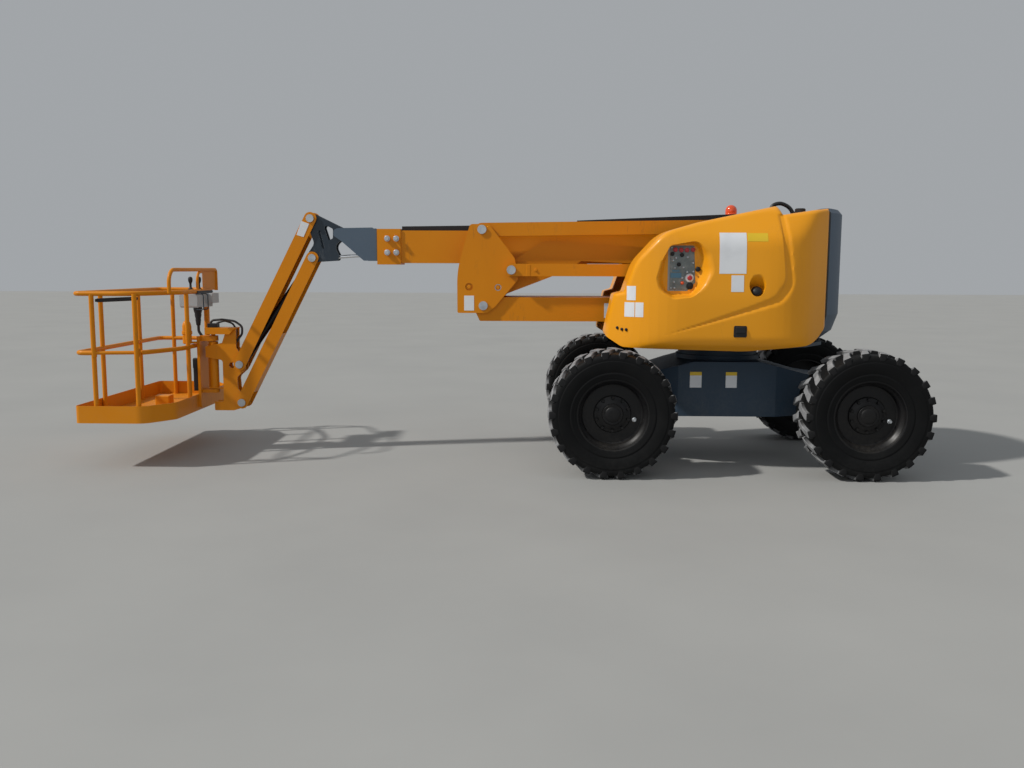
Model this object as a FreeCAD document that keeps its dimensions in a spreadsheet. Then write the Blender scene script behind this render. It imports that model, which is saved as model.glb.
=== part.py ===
import FreeCAD, Part
import math
import os

from FreeCAD import Placement, Rotation, Vector

# Self-propelled articulating boom lift: a four wheel chassis, a slewing turret with moulded hoods,
# a stacked parallelogram of arms, a telescopic boom, a parallelogram jib and a work basket.
# Millimetres and degrees. +X points to the counterweight end, the basket is at -X, +Z is up.
# The frame's origin is on the ground under the middle of the machine's box.
# Heights are above the ground; places along the machine are measured from the slewing axis.

doc = FreeCAD.newDocument("boom_lift")
sheet = doc.addObject("Spreadsheet::Sheet", "Sizes")

# Driving dimensions: alias, value, meaning.
SIZES = [
    ("slew_x", 2028.75, "slewing axis from the frame's origin"),
    ("running_gap", 5.5, "clearance between pieces that move past each other"),
    ("pin_gap", 0.5, "radial clearance of a bore on its pin"),
    ("seat_gap", 0.3, "clearance of a piece seated in another"),
    ("wheelbase", 2100, "distance between the axles"),
    ("overall_width", 2300, "width over the tyres"),
    ("tyre_radius", 537.5, "tyre over its lugs"),
    ("tyre_width", 425, "section width of a tyre"),
    ("lug_count", 22, "tread lugs on each shoulder"),
    ("lug_height", 28, "height of the lugs over the carcass"),
    ("lug_length", 46, "length of a lug along the tread"),
    ("lug_skew", 20, "angle of the lugs to the axle"),
    ("rim_radius", 296, "bead seat radius"),
    ("rim_wall", 12, "thickness of the rim's barrel"),
    ("rim_width", 350, "width of the rim"),
    ("disc_inset", 118, "wheel disc behind the tyre's outer face"),
    ("disc_wall", 14, "thickness of the wheel disc"),
    ("hub_radius", 88, "outer hub cap radius"),
    ("hub_height", 46, "hub cap in front of the disc"),
    ("spindle_radius", 112, "hub motor housing"),
    ("frame_width", 1000, "chassis box width"),
    ("frame_bottom", 440, "ground clearance under the chassis box"),
    ("frame_top", 925, "top plate of the chassis"),
    ("frame_wall", 12, "plate of the chassis box"),
    ("frame_end", 1130, "end of the chassis from the slewing axis"),
    ("frame_end_width", 600, "width of the chassis over the axles"),
    ("axle_top", 630, "top of the axle beams"),
    ("axle_depth", 170, "height of the axle beams"),
    ("axle_length", 150, "length of the axle beams along the machine"),
    ("kingpin_y", 600, "kingpin from the centre plane"),
    ("kingpin_radius", 25, "kingpin"),
    ("knuckle_radius", 60, "steering knuckle barrel"),
    ("knuckle_height", 268, "steering knuckle barrel height"),
    ("lug_plate", 25, "thickness of the axle's kingpin lugs"),
    ("steer_arm", 130, "steering arm from the kingpin"),
    ("lashing_radius", 25, "bore of the lashing eyes"),
    ("lashing_reach", 97, "lashing bores beyond the end of the chassis"),
    ("lashing_tab", 140, "lashing tabs beyond the end of the chassis"),
    ("ring_radius", 380, "slewing ring radius"),
    ("ring_height", 40, "fixed slewing ring height"),
    ("deck_bottom", 1075, "underside of the turntable deck"),
    ("deck_wall", 30, "turntable deck plate"),
    ("upright_inner", 382, "inner face of the turntable uprights"),
    ("upright_wall", 25, "plate of the uprights"),
    ("hood_inner", 425, "inner edge of the hoods"),
    ("hood_wall", 8, "hood moulding thickness"),
    ("groove_depth", 5, "depth of the hoods' moulded groove"),
    ("pocket_radius", 68, "hand pocket of the near hood"),
    ("tail_radius", 1050, "counterweight tail radius"),
    ("tail_top", 2250, "top of the counterweight"),
    ("arm_length", 2500, "pin to pin length of both arm stages"),
    ("arm_slope", 0.8, "slope of the upper arm at rest"),
    ("foot_root_x", 333, "lower arm pin in the turntable"),
    ("foot_pin_z", 1404, "lower arm pin height"),
    ("tie_root_x", 587, "tie rod pin in the turntable"),
    ("tie_pin_z", 1725, "tie rod pin height"),
    ("beam_root_x", 321.7563, "upper beam pin in the carrier"),
    ("beam_root_z", 2117.9054, "upper beam pin height"),
    ("side_root_x", 465.7563, "side arm pin in the carrier"),
    ("side_root_z", 1602.9054, "side arm pin height"),
    ("spacer_reach", 128, "knuckle cross tube in front of the lower arm pin"),
    ("spacer_rise", 169, "knuckle cross tube above the lower arm pin"),
    ("arm_pin", 30, "radius of the arm pins"),
    ("pin_head", 40, "radius of the pin heads"),
    ("head_thick", 16, "thickness of the pin heads"),
    ("boom_half", 115, "half width of the outer boom"),
    ("boom_bottom", 1785, "underside of the outer boom"),
    ("boom_depth", 295, "height of the outer boom"),
    ("boom_wall", 6, "boom tube wall"),
    ("boom_front", -3151, "front end of the outer boom"),
    ("boom_rear", 560, "rear end of the outer boom"),
    ("boom_pin_x", 430, "boom pivot"),
    ("boom_pin_z", 1945, "boom pivot height"),
    ("inner_half", 97, "half width of the inner boom"),
    ("inner_depth", 245, "height of the inner boom"),
    ("inner_rear", -150, "rear end of the inner boom"),
    ("collar_length", 217, "boom head collar"),
    ("side_lane", 140, "inner face of the side arms"),
    ("side_wall", 60, "width of the side arms"),
    ("beam_lane", 206.5, "inner face of the upper beams"),
    ("beam_wall", 74, "width of the upper beams"),
    ("beam_depth", 120, "height of the upper beams"),
    ("cheek_lane", 121, "inner face of the inner cheek plates"),
    ("cheek_wall", 12, "inner cheek plates"),
    ("plate_lane", 288, "inner face of the outer knuckle plates"),
    ("plate_wall", 20, "outer knuckle plates"),
    ("tie_lane", 315, "inner face of the tie rods"),
    ("tie_wall", 58, "width of the tie rods"),
    ("tie_depth", 109, "height of the tie rods"),
    ("lower_half", 281, "half width of the lower arm"),
    ("lower_bottom", 1265, "underside of the lower arm"),
    ("lower_depth", 215, "height of the lower arm"),
    ("lower_wall", 8, "lower arm plate"),
    ("nose_x", -3515, "boom head nose pivot"),
    ("nose_z", 2055, "nose pivot height"),
    ("jib_top_x", -3775, "upper jib pin"),
    ("jib_top_z", 2190, "upper jib pin height"),
    ("jib_low_x", -3764, "lower jib pin"),
    ("jib_low_z", 1829, "lower jib pin height"),
    ("jib_run", -698, "jib pin to pin along the machine"),
    ("jib_drop", -1355, "jib pin to pin in height"),
    ("jib_half", 80, "half width of the jib channels"),
    ("jib_depth", 115, "height of the jib channels"),
    ("jib_wall", 6, "jib channel wall"),
    ("jib_pin", 22, "radius of the jib pins"),
    ("link_lane", 40, "inner face of the tip and fork plates"),
    ("link_wall", 18, "tip and fork plates"),
    ("swivel_x", -4740, "basket swivel axis"),
    ("swivel_radius", 42, "rotary actuator column"),
    ("basket_front", -5645, "front edge of the basket"),
    ("basket_rear", -4860, "rear edge of the basket"),
    ("basket_width", 1830, "width of the basket"),
    ("floor_bottom", 405, "underside of the basket"),
    ("floor_wall", 20, "basket floor"),
    ("toe_height", 150, "toe board height"),
    ("toe_wall", 5, "toe board sheet"),
    ("rail_radius", 17.5, "basket tube radius"),
    ("post_radius", 16, "basket post radius"),
    ("rail_top", 1515, "centre of the top rail"),
    ("rail_middle", 1010, "centre of the middle rail"),
    ("rail_inset", 30, "rails inside the toe board"),
    ("guard_top", 1718, "top of the hoop that guards the console"),
    ("ram_radius", 40, "cylinder barrels"),
    ("ram_rod", 22, "cylinder rods"),
    ("ram_eye", 32, "cylinder eyes"),
]

for row, (alias, value, meaning) in enumerate(SIZES, start=1):
    sheet.set("A%d" % row, meaning)
    sheet.set("B%d" % row, str(value))
    sheet.setAlias("B%d" % row, alias)
doc.recompute()


class Cells:
    """Reads the driving dimensions from the sheet as plain numbers."""

    def __getattr__(self, alias):
        return float(sheet.get(alias))


s = Cells()
parts = {}

# Pins of the knuckle, one arm length in front of their roots; the upper stage slopes up to the carrier
slope = math.radians(s.arm_slope)
rise_x, rise_z = s.arm_length * math.cos(slope), s.arm_length * math.sin(slope)
foot_pin_x, tie_pin_x = s.foot_root_x - s.arm_length, s.tie_root_x - s.arm_length
top_pin_x, top_pin_z = s.beam_root_x - rise_x, s.beam_root_z - rise_z
side_pin_x, side_pin_z = s.side_root_x - rise_x, s.side_root_z - rise_z

# Turning of each sketch plane and the direction in which it is extruded.
PLANES = {
    "XZ": (Rotation(Vector(1, 0, 0), 90), Vector(0, 1, 0)),
    "XY": (Rotation(), Vector(0, 0, 1)),
    "YZ": (Rotation(Vector(1, 1, 1), 120), Vector(1, 0, 0)),
}


def moved(points, dx, dz=0):
    """The outline shifted by dx and dz; corner radii stay."""
    return [(p[0] + dx, p[1] + dz) + tuple(p[2:]) for p in points]


def mirrored(points):
    """A half outline with v > 0 closed by its mirror image in v = 0."""
    return list(points) + [(p[0], -p[1]) + tuple(p[2:]) for p in reversed(points)]


def inset(points, distances):
    """A closed outline with each edge moved inwards by its distance; edge i runs from point i on."""
    count = len(points)
    area = sum(points[i][0] * points[(i + 1) % count][1] - points[(i + 1) % count][0] * points[i][1]
               for i in range(count))
    turn = 1 if area > 0 else -1
    lines = []
    for i in range(count):
        a = Vector(points[i][0], points[i][1], 0)
        b = Vector(points[(i + 1) % count][0], points[(i + 1) % count][1], 0)
        along = (b - a).normalize()
        inward = Vector(-along.y, along.x, 0) * turn
        lines.append((a + inward * distances[i], along))
    result = []
    for i in range(count):
        p, d = lines[i - 1]
        q, e = lines[i]
        reach = ((q.x - p.x) * e.y - (q.y - p.y) * e.x) / (d.x * e.y - d.y * e.x)
        corner = p + d * reach
        radius = points[i][2] if len(points[i]) > 2 else 0
        shrink = min(distances[i - 1], distances[i])
        result.append((corner.x, corner.y, max(radius - shrink, 0) if radius else 0))
    return result


def outline_edges(points):
    """Lines and tangent arcs of a closed outline whose corners (u, v, radius) are rounded."""
    count = len(points)
    corners = []
    for i in range(count):
        p = Vector(points[i][0], points[i][1], 0)
        radius = points[i][2] if len(points[i]) > 2 else 0
        before = Vector(points[i - 1][0], points[i - 1][1], 0) - p
        after = Vector(points[(i + 1) % count][0], points[(i + 1) % count][1], 0) - p
        if radius <= 0:
            corners.append((p, None, p))
            continue
        half = before.getAngle(after) / 2
        reach = radius / math.tan(half)
        start = p + before.normalize() * reach
        end = p + after.normalize() * reach
        middle_way = ((start + end) * 0.5 - p).normalize()
        middle = p + middle_way * (radius / math.sin(half) - radius)
        corners.append((start, middle, end))
    edges = []
    for i in range(count):
        start, middle, end = corners[i]
        if middle is not None:
            edges.append(Part.Arc(start, middle, end))
        following = corners[(i + 1) % count][0]
        if (following - end).Length > 1e-6:
            edges.append(Part.LineSegment(end, following))
    return edges


def prism(name, points, plane, start, length):
    """A rounded outline in a plane, pushed along the plane's axis from start by a length of the sheet."""
    sketch = doc.addObject("Sketcher::SketchObject", name + "_outline")
    sketch.addGeometry(outline_edges(points), False)
    turn, way = PLANES[plane]
    sketch.Placement = Placement(way * start, turn)
    solid = doc.addObject("Part::Extrusion", name)
    solid.Base = sketch
    solid.DirMode = "Custom"
    solid.Dir = way
    solid.Solid = True
    bind(solid, "LengthFwd", length)
    return solid


def bind(item, prop, size):
    """Sets a property from an expression of the sheet's cells, or from a worked out number."""
    if isinstance(size, str):
        item.setExpression(prop, size)
    else:
        setattr(item, prop, size)


def rod(name, radius, length, base, way):
    """A round bar from a base point along a direction."""
    bar = doc.addObject("Part::Cylinder", name)
    bind(bar, "Radius", radius)
    bind(bar, "Height", length)
    bar.Placement = Placement(base, Rotation(Vector(0, 0, 1), way))
    return bar


def cross_rod(name, x, z, radius, half):
    """A bar along Y through (x, z), symmetric about the centre plane."""
    bar = doc.addObject("Part::Cylinder", name)
    bind(bar, "Radius", radius)
    bar.Height = 2 * half
    bar.Placement = Placement(Vector(s.slew_x + x, -half, z), Rotation(Vector(0, 0, 1), Vector(0, 1, 0)))
    return bar


def side_rods(name, x, z, radius, inner, outer):
    """Two bars along Y through (x, z), from inner to outer on each side."""
    pair = []
    for side, sign in (("far", 1), ("near", -1)):
        bar = doc.addObject("Part::Cylinder", name + "_" + side)
        bind(bar, "Radius", radius)
        bar.Height = outer - inner
        bar.Placement = Placement(Vector(s.slew_x + x, sign * inner, z),
                                  Rotation(Vector(0, 0, 1), Vector(0, sign, 0)))
        pair.append(bar)
    return pair


def block(name, low, high):
    """A square-edged block between two corners."""
    box = doc.addObject("Part::Box", name)
    box.Length = high[0] - low[0]
    box.Width = high[1] - low[1]
    box.Height = high[2] - low[2]
    box.Placement = Placement(Vector(*low), Rotation())
    return box


def fuse(name, items):
    """One object from several; pieces that don't touch stay separate solids."""
    joined = doc.addObject("Part::MultiFuse", name)
    joined.Shapes = items
    joined.Refine = True
    return joined


def common(name, items):
    """What several solids share."""
    shared = doc.addObject("Part::MultiCommon", name)
    shared.Shapes = items
    return shared


def cut(name, base, tools):
    """The base less its tools."""
    taken = doc.addObject("Part::Cut", name)
    taken.Base = base
    taken.Tool = tools[0] if len(tools) == 1 else fuse(name + "_tools", tools)
    return taken


def mirror(name, item):
    """The mirror image in the centre plane."""
    image = doc.addObject("Part::Mirroring", name)
    image.Source = item
    image.Normal = Vector(0, 1, 0)
    image.Base = Vector(0, 0, 0)
    return image


def both_sides(name, points, lane, wall):
    """A plate outline in XZ standing on both sides of the centre plane."""
    far = prism(name + "_far", points, "XZ", getattr(s, lane), "Sizes." + wall)
    return [far, mirror(name + "_near", far)]


def keep(label, item):
    """Names a finished piece."""
    item.Label = label
    parts[label] = item
    return item


def turned_profile(name, points, centre, axis="Y"):
    """A closed profile (radius, height) turned about an axis through a centre."""
    wire = Part.Wire(Part.__sortEdges__([g.toShape() for g in outline_edges(points)]))
    face = Part.Face(wire)
    ring = face.revolve(Vector(0, 0, 0), Vector(0, 1, 0), 360)
    if axis == "Z":
        ring.rotate(Vector(0, 0, 0), Vector(1, 0, 0), 90)
    ring.translate(centre)
    item = doc.addObject("Part::Feature", name)
    item.Shape = ring
    return item


def at_slew(points):
    """Places an XZ or XY outline measured from the slewing axis in the frame."""
    return moved(points, s.slew_x)


# Wheels

def many_sided(profile, sides):
    """A closed profile (y, radius) carried round the Y axis through the corners of a regular polygon."""
    turns = [2 * math.pi * (i + 0.25) / sides for i in range(sides + 1)]
    faces = []
    for (y0, r0), (y1, r1) in zip(profile, profile[1:] + profile[:1]):
        for a, b in zip(turns, turns[1:]):
            corners = [Vector(r * math.sin(turn), y, r * math.cos(turn))
                       for y, r, turn in ((y0, r0, a), (y1, r1, a), (y1, r1, b), (y0, r0, b))]
            faces.append(Part.Face(Part.makePolygon(corners + corners[:1])))
    return Part.Solid(Part.Shell(faces))


def lugged_tyre():
    """A carcass with one side to each pair of lugs, and slanted lugs on both shoulders, half a pitch apart."""
    half = s.tyre_width / 2
    count = int(s.lug_count)
    tread = s.tyre_radius - s.lug_height
    bead = (s.rim_radius + s.seat_gap) / math.cos(math.pi / count)
    carcass = many_sided([(-half, bead + 50), (-half, tread - 34), (-0.84 * half, tread), (0.84 * half, tread),
                          (half, tread - 34), (half, bead + 50), (0.84 * half, bead), (-0.84 * half, bead)],
                         count)
    slant = math.tan(math.radians(s.lug_skew))
    reach = slant * (half + 14) / 2 + s.lug_length / 2
    top = math.sqrt(s.tyre_radius ** 2 - reach ** 2)
    # Section of a lug across the tread: distance from the middle of the tyre, radius
    section = [(-14, tread - 14), (-14, top), (half - 34, top), (half, tread - 10), (half, tread - 40),
               (half - 40, tread - 40)]
    corners = [Vector(slant * (half / 2 - 7 - y) - s.lug_length / 2, y, z) for y, z in section]
    bar = Part.Face(Part.makePolygon(corners + corners[:1])).extrude(Vector(s.lug_length, 0, 0))
    lugs = []
    for shoulder, shift in ((bar, 0), (bar.mirror(Vector(0, 0, 0), Vector(0, 1, 0)), 0.5)):
        for i in range(count):
            lug = shoulder.copy()
            lug.rotate(Vector(0, 0, 0), Vector(0, 1, 0), (i + shift) * 360 / count)
            lugs.append(lug)
    return carcass.multiFuse(lugs).removeSplitter()


tread_shape = lugged_tyre()


def wheel(end, side, x, y, outward):
    """A tyre and its rim; outward is the sign of Y that points away from the machine."""
    centre = Vector(s.slew_x + x, y, s.tyre_radius)
    half = s.tyre_width / 2
    tyre = doc.addObject("Part::Feature", "tyre_%s_%s" % (end, side))
    tyre.Shape = tread_shape.translated(centre)
    keep("tyre_%s_%s" % (end, side), tyre)
    lip = s.rim_width / 2
    disc = outward * (half - s.disc_inset)
    barrel = s.rim_radius - s.rim_wall
    back = disc - outward * s.disc_wall
    rim = [(s.rim_radius, -lip), (s.rim_radius, lip), (barrel, lip), (barrel, -lip)]
    plate = [(0, back), (barrel + 2, back), (barrel + 2, disc), (s.hub_radius + 12, disc),
             (s.hub_radius, disc + outward * 8), (s.hub_radius - 10, disc + outward * s.hub_height),
             (0, disc + outward * s.hub_height)]
    pieces = [turned_profile("barrel_%s_%s" % (end, side), rim, centre),
              turned_profile("disc_%s_%s" % (end, side), plate, centre)]
    keep("rim_%s_%s" % (end, side), fuse("rim_%s_%s" % (end, side), pieces))


wheel_y = s.overall_width / 2 - s.tyre_width / 2
axle_x = s.wheelbase / 2
for end, x in (("front", -axle_x), ("rear", axle_x)):
    for side, sign in (("near", -1), ("far", 1)):
        wheel(end, side, x, sign * wheel_y, sign)
disc_back = wheel_y + s.tyre_width / 2 - s.disc_inset - s.disc_wall

# Chassis box with lashing eyes and the fixed half of the slewing ring

frame_side = [(-s.frame_end, s.axle_top), (-930, s.axle_top), (-880, s.frame_bottom), (880, s.frame_bottom),
              (930, s.axle_top), (s.frame_end, s.axle_top), (s.frame_end, 750), (800, 790),
              (300, s.frame_top), (-300, s.frame_top), (-800, 790), (-s.frame_end, 750)]
frame_plan = mirrored([(-s.frame_end, s.frame_end_width / 2), (-900, s.frame_end_width / 2),
                       (-430, s.frame_width / 2), (430, s.frame_width / 2),
                       (900, s.frame_end_width / 2), (s.frame_end, s.frame_end_width / 2)])


def frame_block(name, side, plan):
    """The side outline across the machine, trimmed to the plan outline."""
    across = prism(name + "_side", at_slew(side), "XZ", -s.frame_width, "2 * Sizes.frame_width")
    upright = prism(name + "_plan", at_slew(plan), "XY", 0, "2 * Sizes.frame_top")
    return common(name, [across, upright])


side_walls = [s.frame_wall] * 12
side_walls[2] = -50
hollow = frame_block("frame_hollow", inset(frame_side, side_walls), inset(frame_plan, [s.frame_wall] * 12))
shell = cut("frame_shell", frame_block("frame_solid", frame_side, frame_plan), [hollow])
bearing = rod("ring_fixed", "Sizes.ring_radius", "Sizes.ring_height",
              Vector(s.slew_x, 0, s.frame_top), Vector(0, 0, 1))
eyes = []
for end_sign in (-1, 1):
    for side_sign in (-1, 1):
        eye_x = end_sign * s.frame_end
        tab_end = eye_x + end_sign * s.lashing_tab
        tab = [(eye_x - end_sign * 5, side_sign * 252 - 55), (tab_end, side_sign * 252 - 45, 40),
               (tab_end, side_sign * 252 + 45, 40), (eye_x - end_sign * 5, side_sign * 252 + 55)]
        lug = prism("lug_%d_%d" % (end_sign, side_sign), at_slew(tab), "XY", 640, 24)
        hole = rod("lug_hole_%d_%d" % (end_sign, side_sign), "Sizes.lashing_radius", 60,
                   Vector(s.slew_x + eye_x + end_sign * s.lashing_reach, side_sign * 252, 620), Vector(0, 0, 1))
        eyes.append(cut("eye_%d_%d" % (end_sign, side_sign), lug, [hole]))
keep("chassis_frame", fuse("chassis_frame", [shell, bearing] + eyes))

# Axles: a beam with kingpin forks at the basket end, a beam with fixed hub motors at the other

beam_bottom = s.axle_top - s.axle_depth
knuckle_low = s.tyre_radius - s.knuckle_height / 2
knuckle_high = s.tyre_radius + s.knuckle_height / 2
lug_reach = s.kingpin_y + 68
lug_gap = s.running_gap
fork_half = [(beam_bottom, 0), (beam_bottom, s.kingpin_y - 120),
             (knuckle_low - lug_gap - s.lug_plate, s.kingpin_y - 100),
             (knuckle_low - lug_gap - s.lug_plate, lug_reach), (knuckle_low - lug_gap, lug_reach),
             (knuckle_low - lug_gap, s.kingpin_y - 70), (knuckle_high + lug_gap, s.kingpin_y - 70),
             (knuckle_high + lug_gap, lug_reach), (knuckle_high + lug_gap + s.lug_plate, lug_reach),
             (knuckle_high + lug_gap + s.lug_plate, s.kingpin_y - 100), (s.axle_top, s.kingpin_y - 120),
             (s.axle_top, 0)]
fork_outline = [(v, u) for u, v in fork_half[1:-1]]
fork_outline += [(-v, u) for u, v in reversed(fork_half[1:-1])]
front_beam = prism("front_beam", fork_outline, "YZ", s.slew_x - axle_x - s.axle_length / 2, "Sizes.axle_length")
kingpins = [rod("kingpin_%d" % sign, "Sizes.kingpin_radius", knuckle_high - knuckle_low + 2 * lug_gap,
                Vector(s.slew_x - axle_x, sign * s.kingpin_y, knuckle_low - lug_gap), Vector(0, 0, 1))
            for sign in (-1, 1)]
steer_x = -axle_x - s.steer_arm
steer_z = 557
steer_barrel = rod("steer_barrel", 34, 440, Vector(s.slew_x + steer_x, -220, steer_z), Vector(0, 1, 0))
steer_seat = block("steer_seat", (s.slew_x + steer_x + 20, -60, steer_z - 30),
                   (s.slew_x - axle_x - s.axle_length / 2 + 5, 60, steer_z + 30))
steer_bore = rod("steer_bore", 15 + s.pin_gap, 460, Vector(s.slew_x + steer_x, -230, steer_z), Vector(0, 1, 0))
keep("front_axle", cut("front_axle", fuse("front_axle_body", [front_beam, steer_barrel, steer_seat] + kingpins),
                       [steer_bore]))

rear_beam = block("rear_beam", (s.slew_x + axle_x - s.axle_length / 2, -640, beam_bottom),
                  (s.slew_x + axle_x + s.axle_length / 2, 640, s.axle_top))
rear_hubs = [rod("rear_hub_%d" % sign, "Sizes.spindle_radius", disc_back - 600 - s.seat_gap,
                 Vector(s.slew_x + axle_x, sign * 600, s.tyre_radius), Vector(0, sign, 0)) for sign in (-1, 1)]
keep("rear_axle", fuse("rear_axle", [rear_beam] + rear_hubs))

# Steering knuckles and the steering rod that links them

for side, sign in (("near", -1), ("far", 1)):
    pin_at = Vector(s.slew_x - axle_x, sign * s.kingpin_y, knuckle_low)
    barrel = rod("knuckle_barrel_" + side, "Sizes.knuckle_radius", "Sizes.knuckle_height", pin_at,
                 Vector(0, 0, 1))
    housing = rod("knuckle_hub_" + side, "Sizes.spindle_radius", disc_back - s.kingpin_y - 40 - s.seat_gap,
                  Vector(s.slew_x - axle_x, sign * (s.kingpin_y + 40), s.tyre_radius), Vector(0, sign, 0))
    arm_plan = [(-axle_x + 20, sign * s.kingpin_y - 35), (-axle_x + 20, sign * s.kingpin_y + 35),
                (steer_x - 30, sign * s.kingpin_y + 25, 20), (steer_x - 30, sign * s.kingpin_y - 25, 20)]
    arm = prism("steer_arm_" + side, at_slew(arm_plan), "XY", steer_z - 62, 30)
    bore = rod("knuckle_bore_" + side, s.kingpin_radius + s.pin_gap, s.knuckle_height + 20,
               pin_at - Vector(0, 0, 10), Vector(0, 0, 1))
    keep("steer_knuckle_" + side, cut("steer_knuckle_" + side,
                                      fuse("knuckle_body_" + side, [barrel, housing, arm]), [bore]))
link = rod("link_rod", 15, 2 * s.kingpin_y, Vector(s.slew_x + steer_x, -s.kingpin_y, steer_z), Vector(0, 1, 0))
ends = [rod("link_end_%d" % sign, 26, 44, Vector(s.slew_x + steer_x, sign * s.kingpin_y, steer_z - 24),
            Vector(0, 0, 1)) for sign in (-1, 1)]
keep("steer_rod", fuse("steer_rod", [link] + ends))

# Turntable: moving ring, deck, uprights with the arm pins, lift cylinder ears

deck_top = s.deck_bottom + s.deck_wall
root_x = s.foot_root_x
root_z = s.foot_pin_z
tie_root_x = s.tie_root_x
moving_ring = rod("ring_moving", s.ring_radius - 20, s.deck_bottom - s.frame_top - s.ring_height - s.seat_gap,
                  Vector(s.slew_x, 0, s.frame_top + s.ring_height + s.seat_gap), Vector(0, 0, 1))
deck_plan = mirrored([(-880, 400), (-600, 680), (-250, 860), (330, 870), (600, 720), (840, 400)])
deck = prism("deck", at_slew(deck_plan), "XY", s.deck_bottom, "Sizes.deck_wall")
upright_outline = [(-120, deck_top - 2), (740, deck_top - 2), (700, 1700, 60), (620, 1800, 60), (540, 1800, 60),
                   (380, 1560, 150), (60, 1420, 120)]
uprights = both_sides("upright", at_slew(upright_outline), "upright_inner", "upright_wall")
upright_outer = s.upright_inner + s.upright_wall
root_pin = cross_rod("root_pin", root_x, root_z, "Sizes.arm_pin", upright_outer)
root_bosses = side_rods("root_boss", root_x, root_z, 60, s.lower_half + s.running_gap, s.upright_inner + 2)
tie_stubs = side_rods("tie_stub", tie_root_x, s.tie_pin_z, "Sizes.arm_pin", s.tie_lane - 2, upright_outer)
lift_x, lift_z = 100, deck_top + 46
lift_ears = [block("lift_ear_%d" % sign, (s.slew_x + lift_x - 45, min(sign * 46, sign * 64), deck_top - 2),
                   (s.slew_x + lift_x + 45, max(sign * 46, sign * 64), lift_z + 36)) for sign in (-1, 1)]
lift_pin = cross_rod("lift_pin", lift_x, lift_z, 15, 64)
keep("turntable", fuse("turntable", [moving_ring, deck, root_pin, lift_pin] + uprights + root_bosses
                       + tie_stubs + lift_ears))

# Counterweight: a cast tail whose plan is an arc about the slewing axis, recessed for the boom's root

tail_profile = [(640, deck_top), (870, deck_top), (s.tail_radius - 50, 1205), (s.tail_radius, 1350),
                (s.tail_radius, s.tail_top - 38), (s.tail_radius - 32, s.tail_top), (640, s.tail_top)]
tail_form = turned_profile("tail_form", tail_profile, Vector(s.slew_x, 0, 0), "Z")
tail_plan = mirrored([(728, 412), (728, 604), (792, 700), (s.tail_radius + 20, 700)])
tail_plan = [(862, -412)] + [(p[0], -p[1]) for p in tail_plan[:4]] + tail_plan[3::-1] + [(862, 412)]
tail_upright = prism("tail_upright", at_slew(tail_plan), "XY", deck_top - 10, "2 * Sizes.tail_radius")
keep("counterweight", common("counterweight", [tail_form, tail_upright]))

# Engine and tanks on the side trays, the ground control box on its post

keep("engine_block", block("engine_block", (s.slew_x - 330, 470, deck_top), (s.slew_x + 420, 860, 1650)))
keep("tank_block", block("tank_block", (s.slew_x - 150, -830, deck_top), (s.slew_x + 480, -470, 1560)))
panel_post = block("panel_post", (s.slew_x - 530, -700, deck_top), (s.slew_x - 490, -660, 1700))
panel_box = block("panel_box", (s.slew_x - 625, -880, 1530), (s.slew_x - 345, -700, 1950))
keep("control_panel", fuse("control_panel", [panel_post, panel_box]))

# Hoods: three outlines of the moulding intersected, less the same three moved in by the wall

hood_side = [(-1030, 1525, 20), (-948, 1545, 15), (-860, 1800, 350), (-640, 2040, 350), (-361, 2120, 500),
             (258, 2250, 15), (318, 2186, 40), (650, 2222, 60), (816, 2230, 60), (816, 1235, 240),
             (610, 1085, 200), (60, 1060, 900), (-960, 1080, 90), (-1104, 1170, 60)]
hood_plan = [(-1100, s.hood_inner), (-1100, 640, 180), (-780, 985, 450), (460, 1030, 420), (786, 690, 40),
             (716, 600, 10), (716, s.hood_inner)]
hood_section = [(s.hood_inner, 1050), (860, 1050, 40), (985, 1130, 130), (1035, 1500, 500), (985, 1960, 300),
                (790, 2210, 220), (s.hood_inner, 2262)]


def hood_form(name, side, plan, section):
    """The moulding's solid form on the far side of the machine."""
    across = prism(name + "_side", at_slew(side), "XZ", 300, 900)
    upright = prism(name + "_plan", at_slew(plan), "XY", 900, 1500)
    along = prism(name + "_section", section, "YZ", s.slew_x - 1200, 2200)
    return common(name, [across, upright, along])


wall = s.hood_wall
side_insets = [wall] * 14
for open_edge in (9, 10, 11):
    side_insets[open_edge] = -60
plan_insets = [wall] * 6 + [-60]
section_insets = [-60, wall, wall, wall, wall, wall, -60]
outer_form = hood_form("hood_outer", hood_side, hood_plan, hood_section)
inner_form = hood_form("hood_inner", inset(hood_side, side_insets), inset(hood_plan, plan_insets),
                       inset(hood_section, section_insets))
# The moulded groove that runs up the side and forward to the top, narrowing to a point at the front.
groove_form = hood_form("groove_form", inset(hood_side, [s.groove_depth] * 14),
                        inset(hood_plan, [s.groove_depth] * 6 + [-60]),
                        inset(hood_section, [-60] + [s.groove_depth] * 5 + [-60]))
groove_band = [(-630, 1184), (-286, 1300), (53, 1416), (270, 1508, 120), (366, 1640, 150), (350, 1841),
               (336, 2190), (378, 2190), (408, 1841), (430, 1600, 190), (335, 1468, 150), (60, 1386),
               (-286, 1284)]
groove = cut("groove", prism("groove_band", at_slew(groove_band), "XZ", 600, 500), [groove_form])
hood_shell = cut("hood_shell", outer_form, [inner_form, groove])
keep("hood_far", hood_shell)


def bevelled(name, outer, outer_y, inner, inner_y):
    """A solid whose outline changes evenly between two planes across the machine."""
    wires = []
    for points, y in ((outer, outer_y), (inner, inner_y)):
        wire = Part.Wire(Part.__sortEdges__([g.toShape() for g in outline_edges(at_slew(points))]))
        wire.rotate(Vector(0, 0, 0), Vector(1, 0, 0), 90)
        wire.translate(Vector(0, y, 0))
        wires.append(wire)
    item = doc.addObject("Part::Feature", name)
    item.Shape = Part.makeLoft(wires, True, True)
    return item


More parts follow.
